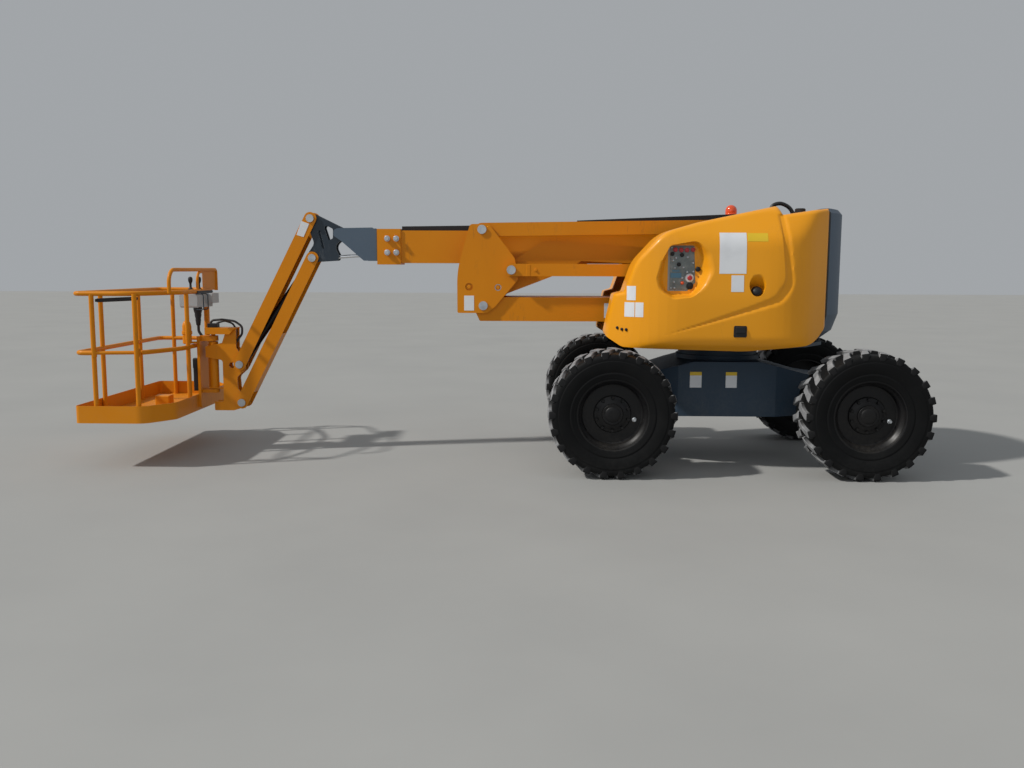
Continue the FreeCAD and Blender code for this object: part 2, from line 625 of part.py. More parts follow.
# The near hood has a bevelled recess around the ground control panel and a scooped hand pocket.
near_form = mirror("hood_outer_near", outer_form)
recess_rim = [(-703, 1655), (-680, 1560), (-560, 1488), (-400, 1505), (-285, 1605), (-222, 1720), (-257, 1870),
              (-370, 1970), (-590, 1930), (-660, 1800)]
recess_floor = [(-622, 1625), (-612, 1560), (-560, 1532), (-405, 1532), (-362, 1590), (-345, 1700),
                (-352, 1900), (-390, 1944), (-596, 1942), (-620, 1880)]
panel_hole = [(-598, 1556), (-432, 1556), (-368, 1625), (-384, 1930), (-598, 1930)]
rim_y, floor_y = -1030, -892
recess_skin = bevelled("recess_skin", inset(recess_rim, [-s.hood_wall] * 10), rim_y,
                       inset(recess_floor, [-s.hood_wall] * 10), floor_y + s.hood_wall)
recess_room = bevelled("recess_room", recess_rim, rim_y, recess_floor, floor_y)
panel_opening = prism("panel_opening", at_slew(panel_hole), "XZ", -1100, 250)
pocket_way = Vector(0, 0.66, -0.75).normalize()
pocket_mouth = Vector(s.slew_x + 123, -1005, 1597)
pocket_start = pocket_mouth - pocket_way * 200
pocket_skin = rod("pocket_skin", "Sizes.pocket_radius + Sizes.hood_wall", 280, pocket_start, pocket_way)
pocket_room = rod("pocket_room", "Sizes.pocket_radius", 272, pocket_start, pocket_way)
near_skins = common("near_skins", [fuse("skins", [recess_skin, pocket_skin]), near_form])
near_body = fuse("near_body", [mirror("hood_shell_near", hood_shell), near_skins])
keep("hood_near", cut("hood_near", near_body, [recess_room, panel_opening, pocket_room]))
beacon_base = rod("beacon_base", 50, 70, Vector(s.slew_x + 205, 560, 2180), Vector(0, 0, 1))
beacon_lens = rod("beacon_lens", 45, 112, Vector(s.slew_x + 205, 560, 2248), Vector(0, 0, 1))
beacon = keep("beacon", cut("beacon", fuse("beacon_body", [beacon_base, beacon_lens]), [outer_form]))
beacon.Placement = Placement(Vector(0, 0, s.seat_gap), Rotation())

# Lower arm: a box beam with its lift cylinder ears underneath

lower_top = s.lower_bottom + s.lower_depth
lower_outline = [(foot_pin_x - 70, lower_top), (foot_pin_x - 70, s.foot_pin_z - 60, 20),
                 (foot_pin_x - 33, s.lower_bottom, 15), (root_x + 70, s.lower_bottom, 50),
                 (root_x + 105, s.lower_bottom + 60, 40), (root_x + 105, lower_top - 40, 40),
                 (root_x + 60, lower_top, 30)]
lower_solid = prism("lower_solid", at_slew(lower_outline), "XZ", -s.lower_half, "2 * Sizes.lower_half")
lower_hollow = block("lower_hollow",
                     (s.slew_x + foot_pin_x + 120, -s.lower_half + s.lower_wall, s.lower_bottom + s.lower_wall),
                     (s.slew_x + root_x - 120, s.lower_half - s.lower_wall, lower_top - s.lower_wall))
lift_eye_x, lift_eye_z = -900, 1245
lower_ears = [prism("lower_ear_%d" % sign, at_slew([(lift_eye_x - 70, s.lower_bottom + 2),
                                                    (lift_eye_x - 30, lift_eye_z - 32, 25),
                                                    (lift_eye_x + 30, lift_eye_z - 32, 25),
                                                    (lift_eye_x + 70, s.lower_bottom + 2)]),
                    "XZ", sign * 48 if sign < 0 else 30, 18) for sign in (-1, 1)]
lower_slots = [block("lower_slot", (s.slew_x + lift_eye_x - 160, -28, s.lower_bottom - 5),
                     (s.slew_x + lift_eye_x + 72, 28, s.lower_bottom + 60)),
               block("barrel_slot", (s.slew_x + lift_eye_x + 71, -s.ram_radius - 6, s.lower_bottom - 5),
                     (s.slew_x + lift_eye_x + 280, s.ram_radius + 6, s.lower_bottom + 60))]
lower_bores = [cross_rod("lower_bore_%d" % i, x, s.foot_pin_z, s.arm_pin + s.pin_gap, s.lower_half + 20)
               for i, x in enumerate((foot_pin_x, root_x))]
keep("lower_arm", cut("lower_arm", fuse("lower_body", [lower_solid] + lower_ears),
                      [lower_hollow] + lower_slots + lower_bores))

# Lower tie rods beside the lower arm

tie_half = s.tie_depth / 2
tie_outline = [(tie_pin_x - 52, s.tie_pin_z - tie_half, 50), (tie_root_x + 52, s.tie_pin_z - tie_half, 50),
               (tie_root_x + 52, s.tie_pin_z + tie_half, 50), (tie_pin_x - 52, s.tie_pin_z + tie_half, 50)]
ties = both_sides("tie", at_slew(tie_outline), "tie_lane", "tie_wall")
tie_bores = [cross_rod("tie_bore_%d" % i, x, s.tie_pin_z, s.arm_pin + s.pin_gap, 420)
             for i, x in enumerate((tie_pin_x, tie_root_x))]
keep("tie_rods", cut("tie_rods", fuse("tie_pair", ties), tie_bores))

# Knuckle between the two arm stages: outer plates, inner cheeks, a cross tube and spacers

spacer_x, spacer_z = foot_pin_x - s.spacer_reach, s.foot_pin_z + s.spacer_rise
plate_outline = moved([(-118, 2131, 35), (52, 2132, 30), (282, 1830, 45), (315, 1640, 50), (112, 1400, 60),
                       (37, 1338, 50), (-233, 1338, 15), (-235, 1720, 900)], foot_pin_x)
cheek_outline = moved([(-118, 2131, 35), (47, 2131, 30), (202, 1640, 60), (202, 1515, 30), (-203, 1515, 30),
                       (-203, 1720, 600)], foot_pin_x)
plates = both_sides("plate", at_slew(plate_outline), "plate_lane", "plate_wall")
cheeks = both_sides("cheek", at_slew(cheek_outline), "cheek_lane", "cheek_wall")
plate_outer = s.plate_lane + s.plate_wall
cheek_outer = s.cheek_lane + s.cheek_wall
cross_tube = cross_rod("cross_tube", spacer_x, spacer_z, 44, s.plate_lane + 2)
spacers = side_rods("spacer", foot_pin_x - 145, 1900, 30, cheek_outer - 2, s.plate_lane + 2)
plate_bores = [cross_rod("plate_bore_%d" % i, x, z, s.arm_pin + s.seat_gap, 340)
               for i, (x, z) in enumerate(((foot_pin_x, s.foot_pin_z), (tie_pin_x, s.tie_pin_z),
                                           (top_pin_x, top_pin_z), (side_pin_x, side_pin_z)))]
recess = side_rods("recess", spacer_x, spacer_z, 34, plate_outer - 12, plate_outer + 10)
keep("knuckle", cut("knuckle", fuse("knuckle_body_all", plates + cheeks + [cross_tube] + spacers),
                    plate_bores + recess))


def headed_pins(name, x, z, inner, outer):
    """A pair of stub pins with round heads outside the outer plates."""
    stubs = side_rods(name, x, z, "Sizes.arm_pin", inner, outer + 2)
    heads = side_rods(name + "_head", x, z, "Sizes.pin_head", outer, outer + s.head_thick)
    return stubs + heads


foot_pin = [cross_rod("foot_pin", foot_pin_x, s.foot_pin_z, "Sizes.arm_pin", plate_outer + 2)]
foot_pin += side_rods("foot_pin_head", foot_pin_x, s.foot_pin_z, "Sizes.pin_head", plate_outer,
                      plate_outer + s.head_thick)
tie_outer = s.tie_lane + s.tie_wall + s.running_gap
top_pins = headed_pins("top_pin", top_pin_x, top_pin_z, s.beam_lane - 2, plate_outer)
tie_pins = headed_pins("tie_pin", tie_pin_x, s.tie_pin_z, s.plate_lane - 20, tie_outer)
side_pins = side_rods("side_pin", side_pin_x, side_pin_z, "Sizes.arm_pin", s.cheek_lane + 1, plate_outer - 8)
keep("knuckle_pins", fuse("knuckle_pins", foot_pin + top_pins + tie_pins + side_pins))

# Upper beams, parallel to the side arms


def along_slope(u, v, base_x, base_z):
    """A point u along the upper stage and v above it, from a pin."""
    return (base_x + u * math.cos(slope) - v * math.sin(slope),
            base_z + u * math.sin(slope) + v * math.cos(slope))


beam_half = s.beam_depth / 2
beam_outline = []
for u, v in ((-beam_half, -beam_half), (s.arm_length + beam_half, -beam_half),
             (s.arm_length + beam_half, beam_half), (-beam_half, beam_half)):
    beam_outline.append(along_slope(u, v, top_pin_x, top_pin_z) + (beam_half - 2,))
beams = both_sides("beam", at_slew(beam_outline), "beam_lane", "beam_wall")
beam_bores = [cross_rod("beam_bore_%d" % i, x, z, s.arm_pin + s.pin_gap, 300)
              for i, (x, z) in enumerate(((top_pin_x, top_pin_z), (s.beam_root_x, s.beam_root_z)))]
keep("upper_beams", cut("upper_beams", fuse("beam_pair", beams), beam_bores))

# Side arms: arched plates that bend down to their pins, joined by a cross tube in front of the boom cylinder

ram_eye_x, ram_eye_z = -1300, 1742
ram_clearance = 220
knuckle_bend = moved([(-78, -68, 60), (34, -74, 30), (475, 95, 60), (701, 208, 20), (751, 239, 15)],
                     side_pin_x, side_pin_z)
knuckle_back = moved([(474, 419, 60), (384, 407, 40), (151, 252, 40), (-78, 82, 70)], side_pin_x, side_pin_z)
root_bend = [(-795, 1784, 200), (60, 1742, 120), (360, 1535, 80), (545, 1530, 70), (545, 1690, 90),
             (320, 1800, 150), (60, 1879, 200), (-691, 1929, 500)]
side_outline = knuckle_bend + root_bend + knuckle_back
side_arms = both_sides("side_arm", at_slew(side_outline), "side_lane", "side_wall")
side_tube = cross_rod("side_tube", ram_eye_x - ram_clearance, side_pin_z + 160, 28, s.side_lane + 2)
side_bores = [cross_rod("side_bore_%d" % i, x, z, s.arm_pin + s.pin_gap, 240)
              for i, (x, z) in enumerate(((side_pin_x, side_pin_z), (s.side_root_x, s.side_root_z)))]
keep("side_arms", cut("side_arms", fuse("side_pair", side_arms + [side_tube]), side_bores))

# Carrier that holds the boom at the top of the arms

carrier_outline = [(240, 2190, 50), (400, 2190, 60), (525, 1960, 90), (560, 1540, 60), (225, 1540, 50),
                   (225, 1760, 60)]
carrier_plates = both_sides("carrier_plate", at_slew(carrier_outline), "plate_lane", "plate_wall")
carrier_cheeks = both_sides("carrier_cheek", at_slew(carrier_outline), "cheek_lane", "cheek_wall")
ram_foot_x, ram_foot_z = 290, 1625
carrier_pins = [cross_rod("boom_pin", s.boom_pin_x, s.boom_pin_z, "Sizes.arm_pin", plate_outer)]
carrier_pins += [cross_rod("ram_foot_pin", ram_foot_x, ram_foot_z, 20, cheek_outer)]
carrier_pins += side_rods("beam_stub", s.beam_root_x, s.beam_root_z, "Sizes.arm_pin", s.cheek_lane, plate_outer)
carrier_pins += side_rods("side_stub", s.side_root_x, s.side_root_z, "Sizes.arm_pin", s.cheek_lane, plate_outer)
carrier_pins += side_rods("carrier_spacer", 500, 1800, 28, cheek_outer - 2, s.plate_lane + 2)
keep("carrier", fuse("carrier", carrier_plates + carrier_cheeks + carrier_pins))

# Outer boom with its bolted collar, cylinder ears and hose track

boom_top = s.boom_bottom + s.boom_depth
boom_mid = s.boom_bottom + s.boom_depth / 2
boom_tube = block("boom_tube", (s.slew_x + s.boom_front, -s.boom_half, s.boom_bottom),
                  (s.slew_x + s.boom_rear, s.boom_half, boom_top))
collar = block("collar", (s.slew_x + s.boom_front, -s.boom_half - 14, s.boom_bottom - 14),
               (s.slew_x + s.boom_front + s.collar_length, s.boom_half + 14, boom_top + 14))
boom_hollow = block("boom_hollow", (s.slew_x + s.boom_front - 5, -s.boom_half + s.boom_wall,
                                    s.boom_bottom + s.boom_wall),
                    (s.slew_x + s.boom_rear - 12, s.boom_half - s.boom_wall, boom_top - s.boom_wall))
pad_gap = s.seat_gap
inner_low = boom_mid - s.inner_depth / 2
inner_high = boom_mid + s.inner_depth / 2
pad_box = block("pad_box", (s.slew_x + s.boom_front + 10, -s.boom_half + 2, s.boom_bottom + 2),
                (s.slew_x + s.boom_front + 190, s.boom_half - 2, boom_top - 2))
pad_hole = block("pad_hole", (s.slew_x + s.boom_front, -s.inner_half - pad_gap, inner_low - pad_gap),
                 (s.slew_x + s.boom_front + 200, s.inner_half + pad_gap, inner_high + pad_gap))
front_pads = cut("front_pads", pad_box, [pad_hole])
collar_bolts = []
for i, (x, z) in enumerate(((-3055, 2006), (-2972, 2006), (-3055, 1880), (-2972, 1880))):
    collar_bolts += side_rods("collar_bolt_%d" % i, x, z, 25, s.boom_half + 10, s.boom_half + 32)
boom_ears = [prism("boom_ear_%d" % sign, at_slew([(ram_eye_x - 80, s.boom_bottom + 2),
                                                  (ram_eye_x - 32, ram_eye_z - 32, 30),
                                                  (ram_eye_x + 32, ram_eye_z - 32, 30),
                                                  (ram_eye_x + 80, s.boom_bottom + 2)]),
                   "XZ", sign * 50 if sign < 0 else 32, 18) for sign in (-1, 1)]
boom_shell = cut("boom_shell", fuse("boom_solid", [boom_tube, collar]), [boom_hollow])
boom_bore = cross_rod("boom_bore", s.boom_pin_x, s.boom_pin_z, s.arm_pin + s.pin_gap, s.boom_half + 10)
boom_body = fuse("boom_body", [boom_shell, front_pads] + boom_ears + collar_bolts)
keep("boom_outer", cut("boom_outer", boom_body, [boom_bore]))

track_start = s.boom_front + s.collar_length
track_outline = [(track_start + 4, boom_top), (track_start + 4, boom_top + 42, 10), (-1320, boom_top + 62, 300),
                 (-1290, boom_top + 88, 10), (110, boom_top + 150, 300), (470, boom_top + 160, 60),
                 (520, boom_top + 60, 40), (520, boom_top)]
keep("hose_track", prism("hose_track", at_slew(track_outline), "XZ", -60, 120))

# Inner boom and its bolted head

inner_front = s.nose_x + 275
inner_tube = block("inner_tube", (s.slew_x + inner_front, -s.inner_half, inner_low),
                   (s.slew_x + s.inner_rear, s.inner_half, inner_high))
inner_hollow = block("inner_hollow", (s.slew_x + inner_front - 5, -s.inner_half + s.boom_wall,
                                      inner_low + s.boom_wall),
                     (s.slew_x + s.inner_rear + 5, s.inner_half - s.boom_wall, inner_high - s.boom_wall))
rear_pad_box = block("rear_pad_box", (s.slew_x + s.inner_rear - 220, -s.boom_half + s.boom_wall + pad_gap,
                                      s.boom_bottom + s.boom_wall + pad_gap),
                     (s.slew_x + s.inner_rear - 20, s.boom_half - s.boom_wall - pad_gap,
                      boom_top - s.boom_wall - pad_gap))
level_x, level_z = -2600, 1900
level_pin = cross_rod("level_pin", level_x, level_z, 15, s.inner_half - 2)
inner_body = cut("inner_body", fuse("inner_solid", [inner_tube, rear_pad_box]), [inner_hollow])
keep("boom_inner", fuse("boom_inner", [inner_body, level_pin]))

head_rear = s.boom_front - s.running_gap
head_outline = [(head_rear, 2076), (-3195, 2107, 20), (s.nose_x, s.nose_z + 46, 45),
                (s.nose_x - 40, s.nose_z + 30, 30), (s.nose_x - 40, s.nose_z - 24, 30),
                (s.nose_x + 30, 1984, 40), (-3278, inner_low - 5, 20), (head_rear, inner_low - 5)]
head_far = prism("head_far", at_slew(head_outline), "XZ", s.inner_half - 1, 16)
head_cheeks = [head_far, mirror("head_near", head_far)]
head_top = block("head_top", (s.slew_x - 3420, -s.inner_half, 2086), (s.slew_x - 3210, s.inner_half, 2100))
nose_pin = cross_rod("nose_pin", s.nose_x, s.nose_z, 26, s.inner_half + 15)
head_trim = block("head_trim", (s.slew_x + inner_front, -s.inner_half - 0.05, inner_low - 0.05),
                  (s.slew_x + head_rear + 5, s.inner_half + 0.05, inner_high + 0.05))
keep("boom_head", cut("boom_head", fuse("head_body", head_cheeks + [head_top, nose_pin]), [head_trim]))

# Tip bracket at the nose, with the jib pins

tip_outline = [(s.jib_top_x - 42, s.jib_top_z - 30, 40), (s.jib_top_x - 42, s.jib_top_z + 42, 40),
               (s.jib_top_x + 30, s.jib_top_z + 42, 30), (s.nose_x + 40, s.nose_z + 45, 38),
               (s.nose_x + 40, s.nose_z - 45, 38), (-3560, 1940, 60), (-3516, 1850, 25), (-3530, 1806, 22),
               (s.jib_low_x - 42, s.jib_low_z - 40, 38), (s.jib_low_x - 42, s.jib_low_z + 42, 38),
               (-3745, 1960, 60)]
tip_plates = both_sides("tip_plate", at_slew(tip_outline), "link_lane", "link_wall")
link_outer = s.link_lane + s.link_wall
nose_hub = cross_rod("nose_hub", s.nose_x, s.nose_z, 40, s.inner_half - 1 - s.running_gap)
top_hub = cross_rod("top_hub", s.jib_top_x, s.jib_top_z, 38, s.link_lane + 2)
level_eye_x, level_eye_z = -3556, 1838
level_bosses = side_rods("level_boss", level_eye_x, level_eye_z, 24, 24, s.link_lane + 2)
slot_outline = [(-3712, 2080, 12), (-3688, 2084, 12), (-3650, 1915, 12), (-3674, 1911, 12)]
tip_slot = prism("tip_slot", at_slew(slot_outline), "XZ", -80, 160)
window_outline = [(-3665, 2145, 20), (-3570, 2095, 20), (-3572, 2010, 20), (-3615, 1985, 20)]
tip_window = prism("tip_window", at_slew(window_outline), "XZ", -80, 160)
nose_bore = cross_rod("nose_bore", s.nose_x, s.nose_z, 26 + s.pin_gap, 110)
jib_bores = [cross_rod("tip_bore_%d" % i, x, z, s.jib_pin + s.seat_gap, 110)
             for i, (x, z) in enumerate(((s.jib_top_x, s.jib_top_z), (s.jib_low_x, s.jib_low_z)))]
keep("tip_bracket", cut("tip_bracket", fuse("tip_body", tip_plates + [nose_hub, top_hub] + level_bosses),
                        [tip_slot, tip_window, nose_bore] + jib_bores))


def jib_pin_set(name, places):
    """Pins with round heads outside the jib channels; places hold x, z and how far in they reach."""
    outer = s.jib_half + s.running_gap
    pieces = []
    for i, (x, z, reach) in enumerate(places):
        if reach == 0:
            pieces.append(cross_rod("%s_%d" % (name, i), x, z, "Sizes.jib_pin", outer + 2))
        else:
            pieces += side_rods("%s_%d" % (name, i), x, z, "Sizes.jib_pin", reach, outer + 2)
        pieces += side_rods("%s_head_%d" % (name, i), x, z, 36, outer, outer + 12)
    return fuse(name, pieces)


keep("tip_pins", jib_pin_set("tip_pins", ((s.jib_top_x, s.jib_top_z, 0), (s.jib_low_x, s.jib_low_z, 34))))

# Jib: two channels that face each other, with the cylinder between them

jib_angle = math.atan2(s.jib_drop, s.jib_run)
jib_length = math.hypot(s.jib_run, s.jib_drop)
fork_top = (s.jib_top_x + s.jib_run, s.jib_top_z + s.jib_drop)
fork_low = (s.jib_low_x + s.jib_run, s.jib_low_z + s.jib_drop)


def along_jib(u, v, base):
    """A point u along the jib and v to its outer side of the upper channel, from a pin."""
    return (base[0] + u * math.cos(jib_angle) + v * math.sin(jib_angle),
            base[1] + u * math.sin(jib_angle) - v * math.cos(jib_angle))


def jib_box(name, base, u0, u1, v0, v1, half, radius=0):
    """A box in jib coordinates, symmetric about the centre plane."""
    points = [along_jib(u, v, base) + (radius,) for u, v in ((u0, v0), (u1, v0), (u1, v1), (u0, v1))]
    return prism(name, at_slew(points), "XZ", -half, 2 * half)


def jib_channel(label, base, outer_sign, open_ends):
    """A channel whose web is on its outer side; open_ends gives how far the web stays from each pin."""
    half = s.jib_depth / 2
    solid = jib_box(label + "_solid", base, -half, jib_length + half, -half, half, s.jib_half, half - 2)
    web_low, web_high = open_ends
    inner = half - s.jib_wall
    room = s.jib_half - s.jib_wall
    open_side = (-half - 5, inner) if outer_sign > 0 else (-inner, half + 5)
    start, end = -half - 5, jib_length + half + 5
    middle = jib_box(label + "_middle", base, start, end, open_side[0], open_side[1], room)
    first = jib_box(label + "_first", base, start, web_low, -half - 5, half + 5, room)
    last = jib_box(label + "_last", base, jib_length - web_high, end, -half - 5, half + 5, room)
    bores = []
    for i, u in enumerate((0, jib_length)):
        x, z = along_jib(u, 0, base)
        bores.append(cross_rod("%s_bore_%d" % (label, i), x, z, s.jib_pin + s.pin_gap, s.jib_half + 10))
    return keep(label, cut(label, solid, [middle, first, last] + bores))


jib_channel("jib_upper", (s.jib_top_x, s.jib_top_z), 1, (140, 320))
jib_channel("jib_lower", (s.jib_low_x, s.jib_low_z), -1, (760, 140))

# Platform fork with the rotary actuator column

column_low, column_high = 600, 1045
fork_outline_xz = [(s.swivel_x - 60, 900), (-4640, 872, 25), (-4640, 482, 15), (-4728, 478), (-4728, 395, 10),
                   (-4545, 395, 30), (fork_low[0] + 44, fork_low[1] - 38, 36),
                   (fork_low[0] + 44, fork_low[1] + 30, 30), (-4500, 600, 50), (-4508, 712, 50),
                   (fork_top[0] + 46, fork_top[1] - 50, 30), (fork_top[0] + 46, fork_top[1] + 30, 36),
                   (-4508, 990, 20), (-4505, 1178), (-4590, 1178), (-4640, 1036, 10), (s.swivel_x - 60, 1000)]
fork_plates = both_sides("fork_plate", at_slew(fork_outline_xz), "link_lane", "link_wall")
column = rod("column", "Sizes.swivel_radius", column_high - column_low,
             Vector(s.slew_x + s.swivel_x, 0, column_low), Vector(0, 0, 1))
deck_outline = [(s.swivel_x - 50, 1118), (-4560, 1118), (-4505, 1178), (s.swivel_x - 50, 1178)]
fork_deck = prism("fork_deck", at_slew(deck_outline), "XZ", -90, 180)
fork_foot = block("fork_foot", (s.slew_x + s.swivel_x - 40, -s.link_lane - 2, 600),
                  (s.slew_x - 4600, s.link_lane + 2, 614))
fork_web = block("fork_web", (s.slew_x - 4640, -s.link_lane - 2, 912), (s.slew_x - 4626, s.link_lane + 2, 1020))
fork_bores = [cross_rod("fork_bore_%d" % i, x, z, s.jib_pin + s.seat_gap, 70)
              for i, (x, z) in enumerate((fork_top, fork_low))]
hose_holes = side_rods("fork_hole", fork_top[0] - 80, fork_top[1] - 10, 28, s.link_lane - 5, link_outer + 5)
swivel_bores = [rod(label, 20 + s.pin_gap, depth, Vector(s.slew_x + s.swivel_x, 0, low), Vector(0, 0, 1))
                for label, depth, low in (("swivel_bore_low", 60, column_low - 5),
                                          ("swivel_bore_high", 160, 1000))]
fork_body = fuse("fork_body", fork_plates + [column, fork_deck, fork_foot, fork_web])
keep("platform_fork", cut("platform_fork", fork_body, fork_bores + hose_holes + swivel_bores))
keep("fork_pins", jib_pin_set("fork_pins", (fork_top + (0,), fork_low + (0,))))

# Basket: tray, tube rails, swivel mount, control console and the sliding entry bar

half_width = s.basket_width / 2
tray_plan = mirrored([(s.basket_front, half_width, 40), (-5040, half_width, 140), (s.basket_rear, 660, 120)])
tray_solid = prism("tray_solid", at_slew(tray_plan), "XY", s.floor_bottom, "Sizes.toe_height")
tray_room = prism("tray_room", at_slew(inset(tray_plan, [s.toe_wall] * 6)), "XY", s.floor_bottom + s.floor_wall,
                  "Sizes.toe_height")
keep("basket_tray", cut("basket_tray", tray_solid, [tray_room]))

rail_y = half_width - s.rail_inset
front_x = s.basket_front + s.rail_inset
rear_x = s.basket_rear - s.rail_inset
rail_bend = 260
rail_corner = -5090
rail_plan = [(front_x, rail_y, 60), (rail_corner, rail_y, rail_bend), (rear_x, 380, 200)]
rail_loop = mirrored(rail_plan)
floor_top = s.floor_bottom + s.floor_wall
post_far = s.basket_front + 180
post_near = -5100
# The second pair of posts stands on the bend of the rails.
bend_half = (math.pi - math.atan2(rail_y - 380, rear_x - rail_corner)) / 2
bend_start = rail_corner - rail_bend / math.tan(bend_half)
bend_y = rail_y - rail_bend + math.sqrt(rail_bend ** 2 - (post_near - bend_start) ** 2)


def tube_along(name, edges, place, radius):
    """A round bar carried along lines and arcs drawn in a plane. Each arc becomes three mitred runs."""
    corners = []
    for line in edges:
        edge = line.toShape()
        edge.Placement = place
        start, end = edge.valueAt(edge.FirstParameter), edge.valueAt(edge.LastParameter)
        if isinstance(line, Part.LineSegment):
            corners += [start, end]
            continue
        reach = edge.Curve.Radius * math.tan(edge.Length / edge.Curve.Radius / 4)
        corners += [start, start + edge.tangentAt(edge.FirstParameter) * reach,
                    end - edge.tangentAt(edge.LastParameter) * reach, end]
    closed = corners[0].isEqual(corners[-1], 1e-6)
    if closed:
        corners = corners[1:-1] + corners[1:2]
    path = corners[:1]
    for here, after in zip(corners[1:], corners[2:] + [None]):
        if here.isEqual(path[-1], 1e-6):
            continue
        if after is None or after.isEqual(here, 1e-6) or (here - path[-1]).getAngle(after - here) > 1e-4:
            path.append(here)
    ways = [(b - a).normalize() for a, b in zip(path, path[1:])]
    pieces = []
    for i, way in enumerate(ways):
        disc = Part.Face(Part.Wire([Part.makeCircle(radius, path[i] - way * 2 * radius, way)]))
        piece = disc.extrude(way * ((path[i + 1] - path[i]).Length + 4 * radius))
        for at, other, sign in ((path[i], i - 1, -1), (path[i + 1], i + 1, 1)):
            if closed or 0 <= other < len(ways):
                normal = (way + ways[other % len(ways)]).normalize() * sign
            else:
                normal = way * sign
            cap = Part.Face(Part.Wire([Part.makeCircle(6 * radius, at, normal)]))
            piece = piece.cut(cap.extrude(normal * 6 * radius))
        pieces.append(piece)
    tube = doc.addObject("Part::Feature", name)
    tube.Shape = pieces[0].multiFuse(pieces[1:])
    return tube


def open_edges(points):
    """Lines and arcs of an open path whose inner corners are rounded."""
    edges = outline_edges(list(points))
    ends = (Vector(points[-1][0], points[-1][1], 0), Vector(points[0][0], points[0][1], 0))
    return [e for e in edges if not (isinstance(e, Part.LineSegment) and e.StartPoint.isEqual(ends[0], 1e-6)
                                     and e.EndPoint.isEqual(ends[1], 1e-6))]


def level_at(height):
    """The place of a plan outline at a height."""
    return Placement(Vector(s.slew_x, 0, height), Rotation())


top_edges = outline_edges(rail_loop)
rails = [tube_along("top_rail", top_edges, level_at(s.rail_top), s.rail_radius)]
entry_cut = block("entry_gap", (s.slew_x + post_far, -half_width, s.rail_middle - 60),
                  (s.slew_x + post_near + 10, -half_width + 240, s.rail_middle + 60))
middle_rail = tube_along("middle_rail", top_edges, level_at(s.rail_middle), s.rail_radius)
rails.append(cut("middle_rail_open", middle_rail, [entry_cut]))
# Post places: name, x, y
POSTS = [("a", post_far, -rail_y), ("b", post_near, -bend_y), ("c", post_far, rail_y), ("d", post_near, bend_y),
         ("e", front_x, -400), ("f", front_x, 400), ("g", rear_x, -250), ("h", rear_x, 250)]
for name, x, y in POSTS:
    rails.append(rod("post_" + name, "Sizes.post_radius", s.rail_top - floor_top,
                     Vector(s.slew_x + x, y, floor_top), Vector(0, 0, 1)))
guard_plane = Rotation(Vector(1, 1, 1), 120)
guard = [(-640, s.rail_top), (-640, s.guard_top, 60), (560, s.guard_top, 60), (560, s.rail_top)]
guard_place = Placement(Vector(s.slew_x + rear_x, 0, 0), guard_plane)
rails.append(tube_along("guard", open_edges(guard), guard_place, 15))
rails.append(block("guard_sheet", (s.slew_x + rear_x - 2, 185, s.rail_top + 5),
                   (s.slew_x + rear_x + 2, 555, s.guard_top - 5)))
keep("basket_rails", fuse("basket_rails", rails))

sleeve_low = s.rail_middle - 35
bar_start = Vector(s.slew_x + post_far, -rail_y, s.rail_middle)
bar_end = Vector(s.slew_x + post_near, -bend_y, s.rail_middle)
bar_way = (bar_end - bar_start).normalize()
bar = rod("bar", 16, bar_start.distanceToPoint(bar_end) - 2 * 20, bar_start + bar_way * 20, bar_way)
sleeves = []
bend_turn = math.degrees(math.asin((post_near - bend_start) / rail_bend))
for x, y, away in ((post_far, -rail_y, 180), (post_near, -bend_y, bend_turn)):
    tube = rod("sleeve_%d" % x, s.rail_radius + 7, 70, Vector(s.slew_x + x, y, sleeve_low), Vector(0, 0, 1))
    below = Vector(s.slew_x + x, y, sleeve_low - 10)
    hole = rod("sleeve_hole_%d" % x, s.rail_radius + 1, 90, below, Vector(0, 0, 1))
    slot = block("sleeve_slot_%d" % x, (0, 0, 0), (60, 2 * (s.rail_radius + s.running_gap), 90))
    slot.Placement = Placement(below, Rotation(Vector(0, 0, 1), away)) * Placement(
        Vector(-8, -s.rail_radius - s.running_gap, 0), Rotation())
    sleeves.append(cut("ring_%d" % x, tube, [hole, slot]))
keep("entry_bar", fuse("entry_bar", [bar] + sleeves))

spine_x = s.basket_rear
spine = block("spine", (s.slew_x + spine_x, -110, s.floor_bottom + 25), (s.slew_x + spine_x + 25, 110, 1100))
swivel_arm_plan = mirrored([(spine_x + 20, 60), (s.swivel_x, 46), (s.swivel_x + 46, 46, 44)])
low_arm = prism("low_arm", at_slew(swivel_arm_plan), "XY", 562, 32)
high_arm = prism("high_arm", at_slew(swivel_arm_plan), "XY", 1052, 48)
swivel_pins = [rod("swivel_pin_low", 20, 60, Vector(s.slew_x + s.swivel_x, 0, 590), Vector(0, 0, 1)),
               rod("swivel_pin_high", 20, 150, Vector(s.slew_x + s.swivel_x, 0, 1010), Vector(0, 0, 1))]
keep("basket_mount", fuse("basket_mount", [spine, low_arm, high_arm] + swivel_pins))

console_high = s.rail_top - s.rail_radius - s.seat_gap
console_plan = [(s.basket_rear - 180, -20, 10), (s.basket_rear - 5, -20, 10), (s.basket_rear - 5, 380, 10),
                (s.basket_rear - 180, 380, 10)]
console_block = prism("console_block", at_slew(console_plan), "XY", console_high - 135, 135)
console_slot = rod("console_slot", s.rail_radius + s.seat_gap, 200,
                   Vector(s.slew_x + rear_x, 250, console_high - 160), Vector(0, 0, 1))
keep("console", cut("console", console_block, [console_slot]))

# Hydraulic cylinders: a barrel pinned at its foot and a rod that slides in it


